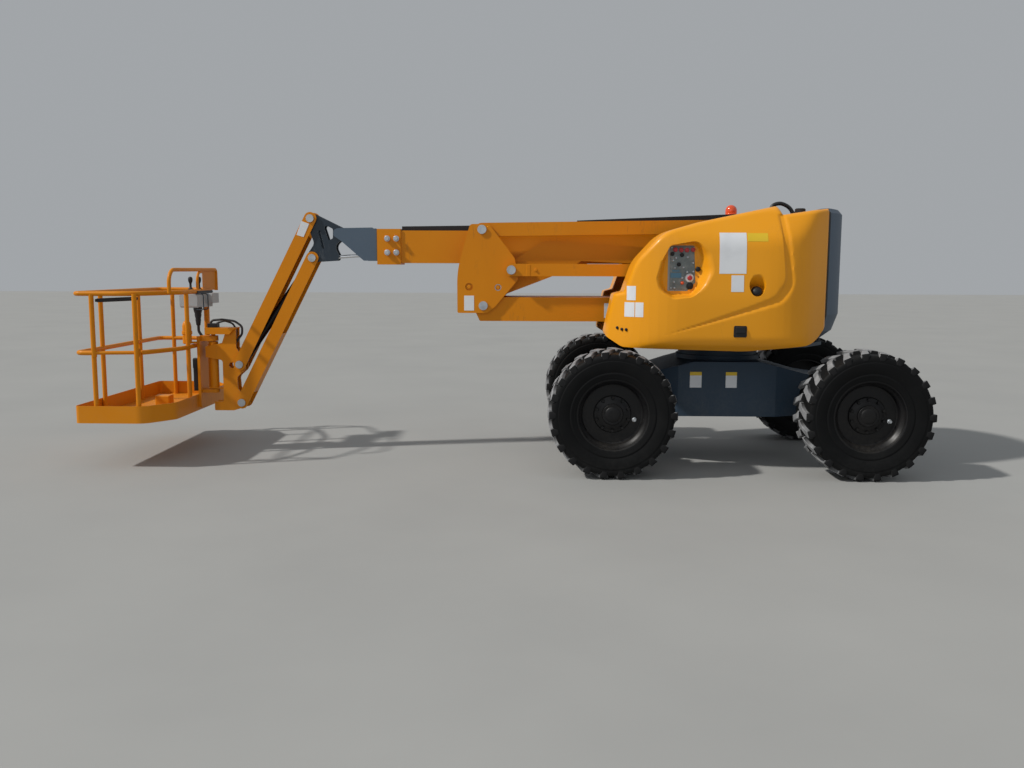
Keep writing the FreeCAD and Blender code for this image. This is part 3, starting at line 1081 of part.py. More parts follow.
def ram(name, foot, eye, radius, rod_radius, closed, inside, half, eye_half):
    """A barrel and a rod between two pins in the centre plane. closed is the barrel's share of the length,
    inside is where the rod starts, measured from the foot pin at rest."""
    a = Vector(s.slew_x + foot[0], 0, foot[1])
    b = Vector(s.slew_x + eye[0], 0, eye[1])
    way = (b - a).normalize()
    length = a.distanceToPoint(b)
    barrel_end = length * closed
    foot_boss = rod(name + "_foot", radius - 6, 2 * half, a - Vector(0, half, 0), Vector(0, 1, 0))
    root = radius - 18
    tube = rod(name + "_tube", radius, barrel_end - root, a + way * root, way)
    bore = rod(name + "_bore", rod_radius + s.pin_gap, barrel_end, a + way * 60, way)
    pin_radius = {"lift": 15, "ram": 20, "level": 15, "jib": s.jib_pin}[name]
    pin_hole = rod(name + "_pin_hole", pin_radius + s.pin_gap, 4 * half, a - Vector(0, 2 * half, 0),
                   Vector(0, 1, 0))
    barrel_solid = fuse(name + "_barrel_solid", [foot_boss, tube])
    keep(name + "_barrel", cut(name + "_barrel", barrel_solid, [bore, pin_hole]))
    stem = rod(name + "_stem", rod_radius, length - inside - 10, a + way * inside, way)
    eye_boss = rod(name + "_eye", rod_radius + 8, 2 * eye_half, b - Vector(0, eye_half, 0), Vector(0, 1, 0))
    eye_hole = rod(name + "_eye_hole", 14, 4 * eye_half, b - Vector(0, 2 * eye_half, 0), Vector(0, 1, 0))
    keep(name + "_rod", cut(name + "_rod", fuse(name + "_rod_solid", [stem, eye_boss]), [eye_hole]))


ram("lift", (lift_x, lift_z), (lift_eye_x, lift_eye_z), s.ram_radius, s.ram_rod, 0.88, 70, 36, 24)
ram("ram", (ram_foot_x, ram_foot_z), (ram_eye_x, ram_eye_z), s.ram_radius, s.ram_rod, 0.90, 70, 36, 26)
ram("level", (level_x, level_z), (level_eye_x, level_eye_z), 30, 16, 0.66, 312, 26, 18)
ram("jib", fork_top, (s.jib_low_x, s.jib_low_z), 36, 20, 0.78, 125, 32, 26)

doc.recompute()
for item in doc.Objects:
    if "Invalid" in item.State or "Error" in item.State:
        raise RuntimeError("%s failed: %s" % (item.Name, item.State))
for label, item in parts.items():
    if item.Shape.isNull() or not item.Shape.isValid():
        raise RuntimeError("%s has no valid shape" % label)

os.makedirs("parts", exist_ok=True)
for label, item in parts.items():
    item.Shape.exportStep("parts/%s.step" % label)
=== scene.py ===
"""The finish of an articulating boom lift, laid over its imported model.

Lengths are in metres. +X points to the counterweight end, +Y away from the side that is looked at, +Z is up.
at() takes millimetres from the slewing axis, as the part's own drawing does.
"""
import math

import bmesh
import bpy
import numpy as np
from mathutils import Matrix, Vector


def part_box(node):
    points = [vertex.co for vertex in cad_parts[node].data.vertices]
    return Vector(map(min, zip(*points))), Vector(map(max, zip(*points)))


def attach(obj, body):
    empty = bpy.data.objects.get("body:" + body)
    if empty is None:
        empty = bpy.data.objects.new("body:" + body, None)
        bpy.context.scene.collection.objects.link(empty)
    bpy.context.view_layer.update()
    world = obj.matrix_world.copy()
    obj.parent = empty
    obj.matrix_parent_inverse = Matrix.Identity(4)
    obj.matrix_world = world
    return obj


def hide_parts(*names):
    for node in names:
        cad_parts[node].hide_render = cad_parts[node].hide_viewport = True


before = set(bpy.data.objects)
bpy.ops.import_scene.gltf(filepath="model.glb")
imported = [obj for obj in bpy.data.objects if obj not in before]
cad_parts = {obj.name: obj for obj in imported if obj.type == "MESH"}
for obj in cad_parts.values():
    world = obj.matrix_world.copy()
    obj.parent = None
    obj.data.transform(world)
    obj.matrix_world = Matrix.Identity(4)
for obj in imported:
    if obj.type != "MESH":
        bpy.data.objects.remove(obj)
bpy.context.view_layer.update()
SLEW = np.array([2.02875, 0.0, 0.0])
OUT, ACROSS, UP = (0, -1, 0), (0, 1, 0), (0, 0, 1)
SIDES = (("near", -1), ("far", 1))


def at(x, y, z):
    """A point, or arrays of them, measured in millimetres from the slewing axis on the ground."""
    x, y, z = np.broadcast_arrays(np.asarray(x, float), np.asarray(y, float), np.asarray(z, float))
    return np.stack([x, y, z], -1) / 1000 + SLEW


# Surfaces

def grid_faces(rows, cols, loop_rows=False, loop_cols=False):
    """Corner numbers of a grid's quads. A looped direction joins its last line to its first."""
    i = np.arange(rows * cols).reshape(rows, cols)
    if loop_rows:
        i = np.concatenate([i, i[:1]], 0)
    if loop_cols:
        i = np.concatenate([i, i[:, :1]], 1)
    return np.stack([i[:-1, :-1], i[1:, :-1], i[1:, 1:], i[:-1, 1:]], -1).reshape(-1, 4)


def surface(points, loop_rows, loop_cols):
    """One patch from an array of points with the shape rows, columns, 3."""
    rows, cols = points.shape[:2]
    return points.reshape(-1, 3), grid_faces(rows, cols, loop_rows, loop_cols).tolist()


def many(points):
    """Patches of one pattern: points has the shape copies, rows, columns, 3. Each copy is capped."""
    copies, rows, cols = points.shape[:3]
    one = grid_faces(rows, cols, False, True)
    faces = (one[None] + (np.arange(copies) * rows * cols)[:, None, None]).reshape(-1, 4).tolist()
    first = np.arange(cols)
    ends = np.stack([first[::-1], first + (rows - 1) * cols])
    faces += (ends[None] + (np.arange(copies) * rows * cols)[:, None, None]).reshape(-1, cols).tolist()
    return points.reshape(-1, 3), faces


def walled(sheet, thick):
    """A closed mesh from an open sheet: the sheet, a copy moved inwards along its normals and turned over, and
    strips that join the two along every open edge."""
    count = len(sheet.vertices)
    places, normals = np.empty(count * 3), np.empty(count * 3)
    sheet.vertices.foreach_get("co", places)
    sheet.vertex_normals.foreach_get("vector", normals)
    places, normals = places.reshape(-1, 3), normals.reshape(-1, 3)
    outwards = np.sign(np.sum(normals * (places - places.mean(0))))
    faces = [list(p.vertices)[::int(outwards)] for p in sheet.polygons]
    inner = places - outwards * normals * thick
    edges = np.array([(f[i - 1], f[i]) for f in faces for i in range(len(f))])
    forward, back = edges[:, 0] * count + edges[:, 1], edges[:, 1] * count + edges[:, 0]
    open_edges = edges[~np.isin(forward, back)]
    strips = np.stack([open_edges[:, 1], open_edges[:, 0], open_edges[:, 0] + count, open_edges[:, 1] + count],
        -1)
    closed = bpy.data.meshes.new(sheet.name)
    closed.from_pydata(np.concatenate([places, inner]).tolist(), [], faces + [[c + count for c in f[::-1]]
        for f in faces] + strips.tolist())
    bpy.data.meshes.remove(sheet)
    return closed


def shown(name, data):
    """A new object in the scene."""
    item = bpy.data.objects.new(name, data)
    bpy.context.scene.collection.objects.link(item)
    return item


def piece(name, patches, body, look, crease=32, replaces=(), shell=0.0):
    """A finished object: patches joined, doubles merged, faces turned outwards, edges sharper than crease kept.
    Its look is a slot and a material; the slot is not used. With shell, the open sheet is given that wall,
    inwards."""
    verts, faces, base = [], [], 0
    for points, quads in patches:
        verts.append(points)
        faces += [[c + base for c in f] for f in quads]
        base += len(points)
    mesh = bpy.data.meshes.new(name)
    mesh.from_pydata(np.concatenate(verts).tolist(), [], faces)
    bm = bmesh.new()
    bm.from_mesh(mesh)
    bmesh.ops.remove_doubles(bm, verts=bm.verts, dist=2e-6)
    bmesh.ops.dissolve_degenerate(bm, edges=bm.edges, dist=1e-7)
    bmesh.ops.recalc_face_normals(bm, faces=bm.faces)
    if shell:
        bmesh.ops.delete(bm, geom=[v for v in bm.verts if not v.link_faces], context="VERTS")
        bm.to_mesh(mesh)
        bm.free()
        mesh = walled(mesh, shell)
        bm = bmesh.new()
        bm.from_mesh(mesh)
    limit = math.radians(crease)
    for edge in bm.edges:
        edge.smooth = len(edge.link_faces) != 2 or edge.calc_face_angle(0) < limit
    for face in bm.faces:
        face.smooth = True
    bm.to_mesh(mesh)
    bm.free()
    mesh.materials.append(look[1])
    item = shown(name, mesh)
    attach(item, body)
    if replaces:
        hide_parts(*replaces)


def frame_of(axis):
    """Two unit vectors square to an axis and to each other."""
    axis = np.asarray(axis, float) / np.linalg.norm(axis)
    side = np.cross(axis, [0, 0, 1] if abs(axis[2]) < 0.9 else [1, 0, 0])
    side /= np.linalg.norm(side)
    return axis, side, np.cross(axis, side)


def turned(profile, centre, axis, steps, closed=False):
    """A profile of (radius, height along the axis) carried once round the axis."""
    axis, side, up = frame_of(axis)
    turn = np.linspace(0, 2 * np.pi, steps, endpoint=False)
    r, h = np.asarray(profile, float).T
    round_ = np.cos(turn)[:, None] * side + np.sin(turn)[:, None] * up
    points = np.asarray(centre) + r[None, :, None] * round_[:, None] + h[None, :, None] * axis
    return surface(points, True, closed)


def studs(centres, axis, profile, sides=20, turn=0.3):
    """Like turned at many centres: rows of (radius, height) on a many-sided ring, capped at both ends."""
    axis, side, up = frame_of(axis)
    centres = np.atleast_2d(centres)
    reach, height = np.asarray(profile, float).T[..., None, None]
    angle = np.linspace(0, 2 * np.pi, sides, endpoint=False) + turn
    ring = np.cos(angle)[:, None] * side + np.sin(angle)[:, None] * up
    return many(centres[:, None, None] + reach * ring + height * axis)


def heads(centres, axis, radius, height, washer=1.35):
    """Six-sided bolt heads with a chamfered top, each on a thin washer."""
    thin = height * 0.22
    return [studs(centres, axis, [(radius * washer, 0), (radius * washer, thin * 0.8),
        (radius * washer - 0.001, thin)]), studs(centres, axis, [(radius, thin * 0.5), (radius, height * 0.88),
        (radius * 0.86, height)], 6)]


def rounded(points, radius, loop=False, steps=7):
    """A path whose corners are arcs: each is cut back along both runs and turned through equal angles."""
    points = [np.asarray(p, float) for p in points]
    radii = np.broadcast_to(radius, len(points))
    out = []
    for i, p in enumerate(points):
        before, after = points[i - 1], points[(i + 1) % len(points)]
        if (not loop and i in (0, len(points) - 1)) or radii[i] == 0:
            out.append(p[None])
            continue
        a, b = (before - p) / np.linalg.norm(before - p), (after - p) / np.linalg.norm(after - p)
        half = math.acos(np.clip(a @ b, -1, 1)) / 2
        reach = radii[i] / math.tan(half)
        middle = p + (a + b) / np.linalg.norm(a + b) * radii[i] / math.sin(half)
        u, v = p + a * reach - middle, p + b * reach - middle
        angle = math.pi - 2 * half
        t = np.linspace(0, 1, steps)[:, None]
        out.append(middle + (np.sin((1 - t) * angle) * u + np.sin(t * angle) * v) / math.sin(angle))
    return np.concatenate(out)


def pipe(path, radius, normal, steps=16, loop=False):
    """A round bar: a circle carried along a path that lies in the plane square to normal."""
    path = np.asarray(path, float)
    normal = np.asarray(normal, float) / np.linalg.norm(normal)
    ahead = np.roll(path, -1, 0) - path
    behind = path - np.roll(path, 1, 0)
    if not loop:
        ahead[-1], behind[0] = behind[-1], ahead[0]
    way = ahead / np.linalg.norm(ahead, axis=1)[:, None] + behind / np.linalg.norm(behind, axis=1)[:, None]
    way /= np.linalg.norm(way, axis=1)[:, None]
    side = np.cross(way, normal)
    side /= np.linalg.norm(side, axis=1)[:, None]
    turn = np.linspace(0, 2 * np.pi, steps, endpoint=False)[:, None]
    points = path[:, None] + (np.cos(turn) * side[:, None] + np.sin(turn) * normal) * radius
    if loop:
        return surface(points, True, True)
    return many(points[None])


def bent(places, y, radii, radius, steps=14):
    """A pipe through (x, z) places at one y in millimetres; its corners and its own radius are in metres."""
    return pipe(rounded([at(x, y, z) for x, z in places], radii), radius, ACROSS, steps)


def slab(outline, low, high, plane, bevel):
    """A plate: an outline in its plane, between two distances along the third axis, its edges chamfered."""
    outline = np.asarray(outline, float)
    ahead = np.roll(outline, -1, 0) - outline
    left = np.stack([ahead[:, 1], -ahead[:, 0]], -1) / np.linalg.norm(ahead, axis=1)[:, None]
    area = np.sum(outline[:, 0] * np.roll(outline[:, 1], -1) - outline[:, 1] * np.roll(outline[:, 0], -1))
    left *= -np.sign(area)
    lean = left + np.roll(left, 1, 0)
    lean /= np.maximum(np.sum(lean * left, 1), 0.3)[:, None]
    small = outline + lean * bevel
    levels = [(small, low), (outline, low + bevel), (outline, high - bevel), (small, high)]
    rows = np.stack([np.concatenate([o, np.full((len(o), 1), h)], 1) for o, h in levels])
    order = {"XZ": [0, 2, 1], "YZ": [2, 0, 1]}[plane]
    return many(rows[..., order][None])


def box(low, high, bevel):
    """A block between two corners in millimetres from the slewing axis, its edges chamfered."""
    a, b = at(*low), at(*high)
    return slab([(a[0], a[2]), (b[0], a[2]), (b[0], b[2]), (a[0], b[2])], a[1], b[1], "XZ", bevel / 1000)


def flat(outline, low, high, bevel):
    """A plate square to Y: its (x, z) corners and two distances along Y, all in millimetres."""
    outline = [(x / 1000 + SLEW[0], z / 1000) for x, z in outline]
    return slab(outline, low / 1000, high / 1000, "XZ", bevel / 1000)


def laid_on(y, x, z, lift=1.5):
    """A thin closed sheet that follows a surface, given by its y at a grid of places, all in millimetres."""
    return many(np.concatenate([at(x, y - lift, z), at(x, y + 0.5, z)[:, ::-1]], 1)[None])


# Shader groups

def feed(tree, inputs, values):
    """Give each input a socket's link or a plain value."""
    for key, value in values.items():
        if hasattr(value, "is_output"):
            tree.links.new(value, inputs[key])
        else:
            inputs[key].default_value = value


def node(tree, kind, values=(), **settings):
    """A node with its settings, and with sockets or values on its numbered or named inputs."""
    made = tree.nodes.new(kind)
    for key, value in settings.items():
        setattr(made, key, value)
    feed(tree, made.inputs, dict(values))
    return made


def group(name, inputs, outputs):
    """An empty node group with named float, colour and vector sockets."""
    tree = bpy.data.node_groups.new(name, "ShaderNodeTree")
    kinds = {"f": "NodeSocketFloat", "c": "NodeSocketColor", "v": "NodeSocketVector"}
    for label, kind, value in inputs:
        tree.interface.new_socket(name=label, in_out="INPUT", socket_type=kinds[kind]).default_value = value
    for label, kind in outputs:
        tree.interface.new_socket(name=label, in_out="OUTPUT", socket_type=kinds[kind])
    return tree, tree.nodes.new("NodeGroupInput").outputs, tree.nodes.new("NodeGroupOutput").inputs


def step(tree, operation, a, b=0.0, clamp=False):
    """One step of arithmetic on sockets or numbers."""
    return node(tree, "ShaderNodeMath", {0: a, 1: b}, operation=operation, use_clamp=clamp).outputs[0]


def blend(tree, factor, a, b):
    """A colour mix of sockets or plain values."""
    return node(tree, "ShaderNodeMix", {0: factor, 6: a, 7: b}, data_type="RGBA").outputs[2]


def own_place(tree):
    """The object's own coordinates."""
    return node(tree, "ShaderNodeTexCoord").outputs["Object"]


def noise_at(tree, scale, detail=4.0, roughness=0.55):
    """Noise over the object's own coordinates."""
    values = {"Detail": detail, "Roughness": roughness, "Vector": own_place(tree), "Scale": scale}
    return node(tree, "ShaderNodeTexNoise", values).outputs["Fac"]


def ranged(tree, source, low, high):
    """Source stretched so that low becomes 0 and high becomes 1."""
    return node(tree, "ShaderNodeMapRange", {0: source, 1: low, 2: high}).outputs[0]


def parts_of(tree, vector):
    """The three numbers of a vector."""
    return node(tree, "ShaderNodeSeparateXYZ", {0: vector}).outputs


def facing(tree):
    """The three numbers of the surface's direction."""
    return parts_of(tree, node(tree, "ShaderNodeNewGeometry").outputs["Normal"])


WHITE_TONE, BLACK_TONE = (1, 1, 1, 1), (0, 0, 0, 1)
COAT_ROUGHNESS = 0.12
COLOUR_AND_MASK = [("Colour", "c"), ("Mask", "f")]


def build_fading():
    """Sun-faded and darker patches: the colour is mixed towards two tones by slow noise."""
    tree, given, out = group("fading", [("Colour", "c", WHITE_TONE), ("Faded", "c", WHITE_TONE),
        ("Deep", "c", BLACK_TONE), ("Scale", "f", 1.5), ("Amount", "f", 0.3)], COLOUR_AND_MASK)
    n = noise_at(tree, given["Scale"])
    light = step(tree, "MULTIPLY", ranged(tree, n, 0.5, 0.75), given["Amount"])
    dark = step(tree, "MULTIPLY", ranged(tree, n, 0.5, 0.25), given["Amount"])
    first = blend(tree, light, given["Colour"], given["Faded"])
    feed(tree, out, {"Colour": blend(tree, dark, first, given["Deep"]), "Mask": n})
    return tree


def build_dusting():
    """Dust: more on faces that look up and near the ground, broken up by two noises."""
    tree, given, out = group("dusting", [("Colour", "c", WHITE_TONE), ("Dust", "c", WHITE_TONE),
        ("Amount", "f", 0.3), ("Reach", "f", 0.8)], COLOUR_AND_MASK)
    upward = ranged(tree, facing(tree)[2], 0.2, 1.0)
    height = step(tree, "DIVIDE", parts_of(tree, own_place(tree))[2], given["Reach"])
    low = step(tree, "SUBTRACT", 1.0, height, True)
    where = step(tree, "ADD", step(tree, "MULTIPLY", upward, 0.55), low, True)
    speckle = step(tree, "MULTIPLY", noise_at(tree, 7.0, 6.0), noise_at(tree, 45.0, 3.0))
    broken = ranged(tree, speckle, 0.12, 0.38)
    mask = step(tree, "MULTIPLY", step(tree, "MULTIPLY", where, broken), given["Amount"], True)
    feed(tree, out, {"Colour": blend(tree, mask, given["Colour"], given["Dust"]), "Mask": mask})
    return tree


def build_ripple():
    """A fine uneven surface: noise as a height, turned into a normal."""
    tree, given, out = group("ripple", [("Scale", "f", 60.0), ("Strength", "f", 0.1), ("Depth", "f", 0.001)],
        [("Normal", "v")])
    bump = node(tree, "ShaderNodeBump", {"Height": noise_at(tree, given["Scale"], 3.0),
        "Strength": given["Strength"], "Distance": given["Depth"]})
    feed(tree, out, {"Normal": bump.outputs[0]})
    return tree


def build_scuffs():
    """Thin rubbed lines, the ridges of a stretched noise, that lay a worn colour over the paint."""
    tree, given, out = group("scuffs", [("Colour", "c", WHITE_TONE), ("Worn", "c", BLACK_TONE),
        ("Amount", "f", 0.2), ("Scale", "f", 3.0)], COLOUR_AND_MASK)
    turn = node(tree, "ShaderNodeMapping", {0: own_place(tree), "Scale": (6.0, 6.0, 1.0),
        "Rotation": (0.3, 0.5, 0.2)})
    n = node(tree, "ShaderNodeTexNoise", {"Detail": 5.0, "Roughness": 0.6, "Vector": turn.outputs[0],
        "Scale": given["Scale"]})
    ridge = step(tree, "ABSOLUTE", step(tree, "SUBTRACT", n.outputs["Fac"], 0.5))
    line = step(tree, "SUBTRACT", 1.0, ranged(tree, ridge, 0.0, 0.012), True)
    patch = ranged(tree, noise_at(tree, 2.6, 2.0), 0.52, 0.66)
    mask = step(tree, "MULTIPLY", step(tree, "MULTIPLY", line, patch), given["Amount"], True)
    feed(tree, out, {"Colour": blend(tree, mask, given["Colour"], given["Worn"]), "Mask": mask})
    return tree


FADING, DUSTING, RIPPLE, SCUFFS = build_fading(), build_dusting(), build_ripple(), build_scuffs()


def finish_of(name, colour, faded=None, deep=None, fade=0.35, spread=1.4, dust=0.1, reach=0.8,
        dirt=(0.33, 0.29, 0.23), scuff=0.0, worn=(0.12, 0.1, 0.08), rough=(0.3, 0.4), metal=0.0, coat=0.0,
        shine=0.5, grain=60.0, relief=0.1, depth=0.001):
    """A material: fading, scuffs, then dust over the colour. Dust also roughens it, ripple gives the normal.
    spread is the scale of the faded patches, reach the height of the dust, grain the scale of the ripple."""
    made = bpy.data.materials.new(name)
    made.use_nodes = True
    tree = made.node_tree
    tree.nodes.clear()
    rgb = np.array(colour)
    faded = rgb * 0.75 + 0.2 if faded is None else faded
    deep = rgb * 0.6 if deep is None else deep

    def layer(kind, values):
        return node(tree, "ShaderNodeGroup", values, node_tree=kind).outputs

    first = layer(FADING, {"Colour": (*rgb, 1), "Faded": (*faded, 1), "Deep": (*deep, 1), "Scale": spread,
        "Amount": fade})
    painted = first["Colour"]
    if scuff:
        painted = layer(SCUFFS, {"Colour": painted, "Worn": (*worn, 1), "Amount": scuff,
            "Scale": 1.2})["Colour"]
    last = layer(DUSTING, {"Colour": painted, "Dust": (*dirt, 1), "Amount": dust, "Reach": reach})
    clean = step(tree, "ADD", step(tree, "MULTIPLY", first["Mask"], rough[1] - rough[0]), rough[0])
    dusty = step(tree, "ADD", clean, step(tree, "MULTIPLY", last["Mask"], 0.4), True)
    bump = layer(RIPPLE, {"Scale": grain, "Strength": relief, "Depth": depth})
    shader = node(tree, "ShaderNodeBsdfPrincipled", {"Base Color": last["Colour"], "Normal": bump["Normal"],
        "Roughness": dusty, "Metallic": metal, "Specular IOR Level": shine, "Coat Weight": coat,
        "Coat Roughness": COAT_ROUGHNESS})
    node(tree, "ShaderNodeOutputMaterial", {0: shader.outputs[0]})
    return made


ORANGE = "paint_orange", finish_of("orange paint", (0.66, 0.225, 0.003), faded=(0.74, 0.29, 0.012),
    deep=(0.52, 0.155, 0.002), fade=0.3, dust=0.08, scuff=0.4, worn=(0.3, 0.12, 0.02), rough=(0.34, 0.54),
    coat=0.04, shine=0.2, grain=90, relief=0.12)
GELCOAT = "hood_orange", finish_of("orange moulding", (0.84, 0.34, 0.008), faded=(0.85, 0.4, 0.03),
    deep=(0.66, 0.24, 0.004), fade=0.22, spread=0.9, scuff=0.2, worn=(0.5, 0.22, 0.03), rough=(0.28, 0.44),
    coat=0.1, shine=0.3, grain=14, relief=0.06, depth=0.003)
finish_of("slate paint", (0.029, 0.053, 0.085), faded=(0.046, 0.075, 0.11), dust=0.14, reach=0.9, scuff=0.3,
    worn=(0.1, 0.11, 0.12), rough=(0.4, 0.6), shine=0.3)
finish_of("blue grey paint", (0.08, 0.115, 0.158), faded=(0.11, 0.145, 0.19), fade=0.3, dust=0.12, scuff=0.4,
    worn=(0.2, 0.21, 0.22), rough=(0.35, 0.5), shine=0.35)
finish_of("painted casting", (0.084, 0.118, 0.163), faded=(0.11, 0.145, 0.19), fade=0.4, dust=0.15,
    rough=(0.45, 0.65), shine=0.3, grain=130, relief=0.45, depth=0.0015)
BRACKET = "paint_slate", finish_of("dark bracket paint", (0.018, 0.03, 0.045), faded=(0.04, 0.055, 0.075),
    scuff=0.4, worn=(0.14, 0.15, 0.16), rough=(0.3, 0.5), shine=0.4)
ZINC = "zinc", finish_of("zinc plate", (0.5, 0.53, 0.56), faded=(0.62, 0.64, 0.66), deep=(0.3, 0.31, 0.33),
    fade=0.6, spread=18, dust=0.2, rough=(0.25, 0.5), metal=0.75, grain=160, relief=0.15)
finish_of("rod chrome", (0.75, 0.76, 0.78), fade=0.15, rough=(0.08, 0.2), metal=1.0, grain=200, relief=0.02)
RUBBER = "tread", finish_of("tyre rubber", (0.005, 0.0053, 0.0058), faded=(0.01, 0.01, 0.01),
    deep=(0.004, 0.004, 0.004), fade=0.5, spread=5, reach=0.35, dirt=(0.1, 0.1, 0.095), rough=(0.5, 0.75),
    shine=0.14, grain=150, relief=0.25)
# Pale, worn and dusty lugs; their faces that look to either side get painted shade further down.
TREAD = "tread", finish_of("worn tread", (0.22, 0.226, 0.238), faded=(0.37, 0.377, 0.39),
    deep=(0.08, 0.081, 0.084), fade=0.9, spread=9, dust=0.35, reach=1.6, dirt=(0.25, 0.25, 0.24),
    rough=(0.7, 0.9), shine=0.25, grain=120, relief=0.4)


def paint_side_shade(material, tone):
    """Painted shade: faces that look to either side of the machine get a darker tone; only the others are worn
    pale.
    """
    tree = material.node_tree
    base = tree.nodes["Principled BSDF"].inputs["Base Color"]
    side = ranged(tree, step(tree, "ABSOLUTE", facing(tree)[1]), 0.2, 0.5)
    tree.links.new(blend(tree, side, base.links[0].from_socket, (*tone, 1)), base)


# Painted shade on the lugs' faces that look along the axle.
paint_side_shade(TREAD[1], (0.011, 0.0112, 0.012))
WHEEL = "paint_slate", finish_of("wheel black", (0.004, 0.004, 0.005), faded=(0.009, 0.009, 0.009), fade=0.5,
    spread=4, dust=0.06, reach=0.7, rough=(0.3, 0.5), shine=0.3, grain=80, relief=0.2)
BLACK = "black_plastic", finish_of("black moulding", (0.012, 0.012, 0.014), faded=(0.03, 0.03, 0.032), fade=0.5,
    dust=0.12, rough=(0.4, 0.6), shine=0.35, grain=250, relief=0.2)
HOSE = "black_plastic", finish_of("hose rubber", (0.012, 0.013, 0.015), faded=(0.03, 0.03, 0.032), fade=0.4,
    rough=(0.35, 0.5), grain=300, relief=0.15)
GREY = "grey_plastic", finish_of("grey moulding", (0.42, 0.44, 0.45), faded=(0.55, 0.56, 0.56), fade=0.3,
    dust=0.15, rough=(0.4, 0.55), grain=200, relief=0.15)
PANEL = "grey_plastic", finish_of("panel face", (0.17, 0.2, 0.2), faded=(0.3, 0.32, 0.31),
    deep=(0.1, 0.12, 0.13), fade=0.8, spread=22, rough=(0.3, 0.45))
WHITE = "grey_plastic", finish_of("blank sign", (0.72, 0.74, 0.77), faded=(0.8, 0.81, 0.82),
    deep=(0.55, 0.57, 0.6), spread=6, relief=0.03)
YELLOW = "grey_plastic", finish_of("blank yellow sign", (0.75, 0.5, 0.02), fade=0.2, relief=0.03)
LENS = "beacon_lens", finish_of("beacon lens", (0.75, 0.085, 0.015), faded=(0.9, 0.16, 0.03),
    deep=(0.5, 0.03, 0.01), fade=0.4, spread=12, rough=(0.1, 0.2), coat=0.6, grain=40, relief=0.1)
RED = "black_plastic", finish_of("red plastic", (0.45, 0.03, 0.035), fade=0.2, dust=0.05, rough=(0.25, 0.4))
BLUE = "black_plastic", finish_of("blue film", (0.09, 0.22, 0.33), fade=0.2, dust=0.05)

CAD_FINISH = {  # material: nodes
    "orange paint": "lower_arm tie_rods knuckle upper_beams side_arms carrier boom_outer boom_inner jib_upper "
                    "jib_lower platform_fork basket_mount basket_tray entry_bar",
    "orange moulding": "hood_near hood_far",
    "slate paint": "chassis_frame front_axle rear_axle steer_knuckle_near steer_knuckle_far turntable",
    "blue grey paint": "boom_head", "painted casting": "counterweight", "dark bracket paint": "tip_bracket",
    "zinc plate": "knuckle_pins tip_pins fork_pins steer_rod",
    "rod chrome": "lift_rod ram_rod level_rod jib_rod",
    "wheel black": "rim_front_near rim_front_far rim_rear_near rim_rear_far lift_barrel ram_barrel "
                   "level_barrel jib_barrel",
    "black moulding": "engine_block tank_block hose_track", "grey moulding": "console control_panel",
    "beacon lens": "beacon",
}
for finish, names in CAD_FINISH.items():
    for label in names.split():
        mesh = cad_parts[label].data
        mesh.materials.clear()
        mesh.materials.append(bpy.data.materials[finish])

# Hoods: each moulding is one thin smooth shell. The near one has the panel's recess and the hand pocket

# In millimetres. Each row of an outline ends with the radius of its corner
HOOD_INNER = 425
HOOD_SIDE = [(-1030, 1525, 20), (-948, 1545, 15), (-860, 1800, 350), (-640, 2040, 350), (-361, 2120, 500),
    (316, 2264, 12), (350, 2186, 14), (650, 2232, 60), (806, 2246, 50), (822, 1300, 300), (640, 1110, 260),
    (60, 1050, 900), (-960, 1080, 90), (-1104, 1170, 60)]
HOOD_PLAN = [(-1100, 425, 0), (-1100, 640, 180), (-780, 985, 800), (430, 1030, 640), (786, 690, 40),
    (716, 600, 10), (716, 425, 0)]
HOOD_SECTION = [(425, 1050, 0), (860, 1050, 40), (985, 1130, 130), (1035, 1500, 500), (985, 1960, 300),
    (800, 2264, 160), (425, 2290, 0)]
GROOVE = [(-680, 1172, 1), (-286, 1303, 1), (53, 1420, 1), (270, 1508, 120), (358, 1640, 150), (338, 1841, 1),
    (306, 2190, 1), (364, 2190, 1), (408, 1841, 1), (434, 1600, 190), (338, 1462, 150), (60, 1380, 1),
    (-286, 1280, 1)]
RECESS_RIM = [(-703, 1655, 60), (-680, 1560, 80), (-560, 1488, 90), (-400, 1505, 110), (-285, 1605, 110),
    (-222, 1720, 110), (-257, 1870, 110), (-370, 1970, 90), (-590, 1930, 60), (-660, 1800, 90)]
RECESS_FLOOR = [(-622, 1625, 20), (-612, 1560, 26), (-560, 1532, 20), (-405, 1532, 40), (-362, 1590, 30),
    (-345, 1700, 60), (-352, 1900, 30), (-390, 1944, 20), (-596, 1942, 25), (-620, 1880, 20)]
PANEL_HOLE = [(-598, 1556, 8), (-432, 1556, 20), (-368, 1625, 20), (-384, 1930, 8), (-598, 1930, 8)]
RECESS_CENTRE, RECESS_Y = (-480, 1740), 892
POCKET_CENTRE, POCKET_WIDE, POCKET_HIGH = (123, 1616), 68, 103
POCKET_AXIS_Y, POCKET_AXIS_Z, POCKET_LONG = 0.66, 0.75, 72
POCKET_Y, POCKET_Z = 1005, 1597
GROOVE_DEPTH, GROOVE_WALL = 13, 17
EDGE = 34
BLEND, BLEND_RISE = 36, 10
STEPS = 9
NOSE_CORNER, REAR_CORNER = 13, 9
COLUMNS, ROWS, LIP_ROWS = 185, 105, 9
FAN_END, FAN_BOW, ABOVE_NOSE = -300, 160, 30
SHELL = 0.006


def outline_of(rows, loop=True):
    """The points of a polygon whose rows are two places and a corner radius."""
    rows = np.array(rows, float)
    return rounded(list(rows[:, :2]), rows[:, 2], loop, STEPS)


def away(points, path):
    """How far each point is from a path of straight runs."""
    start, run = path[:-1], path[1:] - path[:-1]
    gap = points[:, None] - start
    along = np.clip(np.sum(gap * run, -1) / np.sum(run * run, -1), 0, 1)
    return np.sqrt(np.min(np.sum((gap - along[..., None] * run) ** 2, -1), 1))


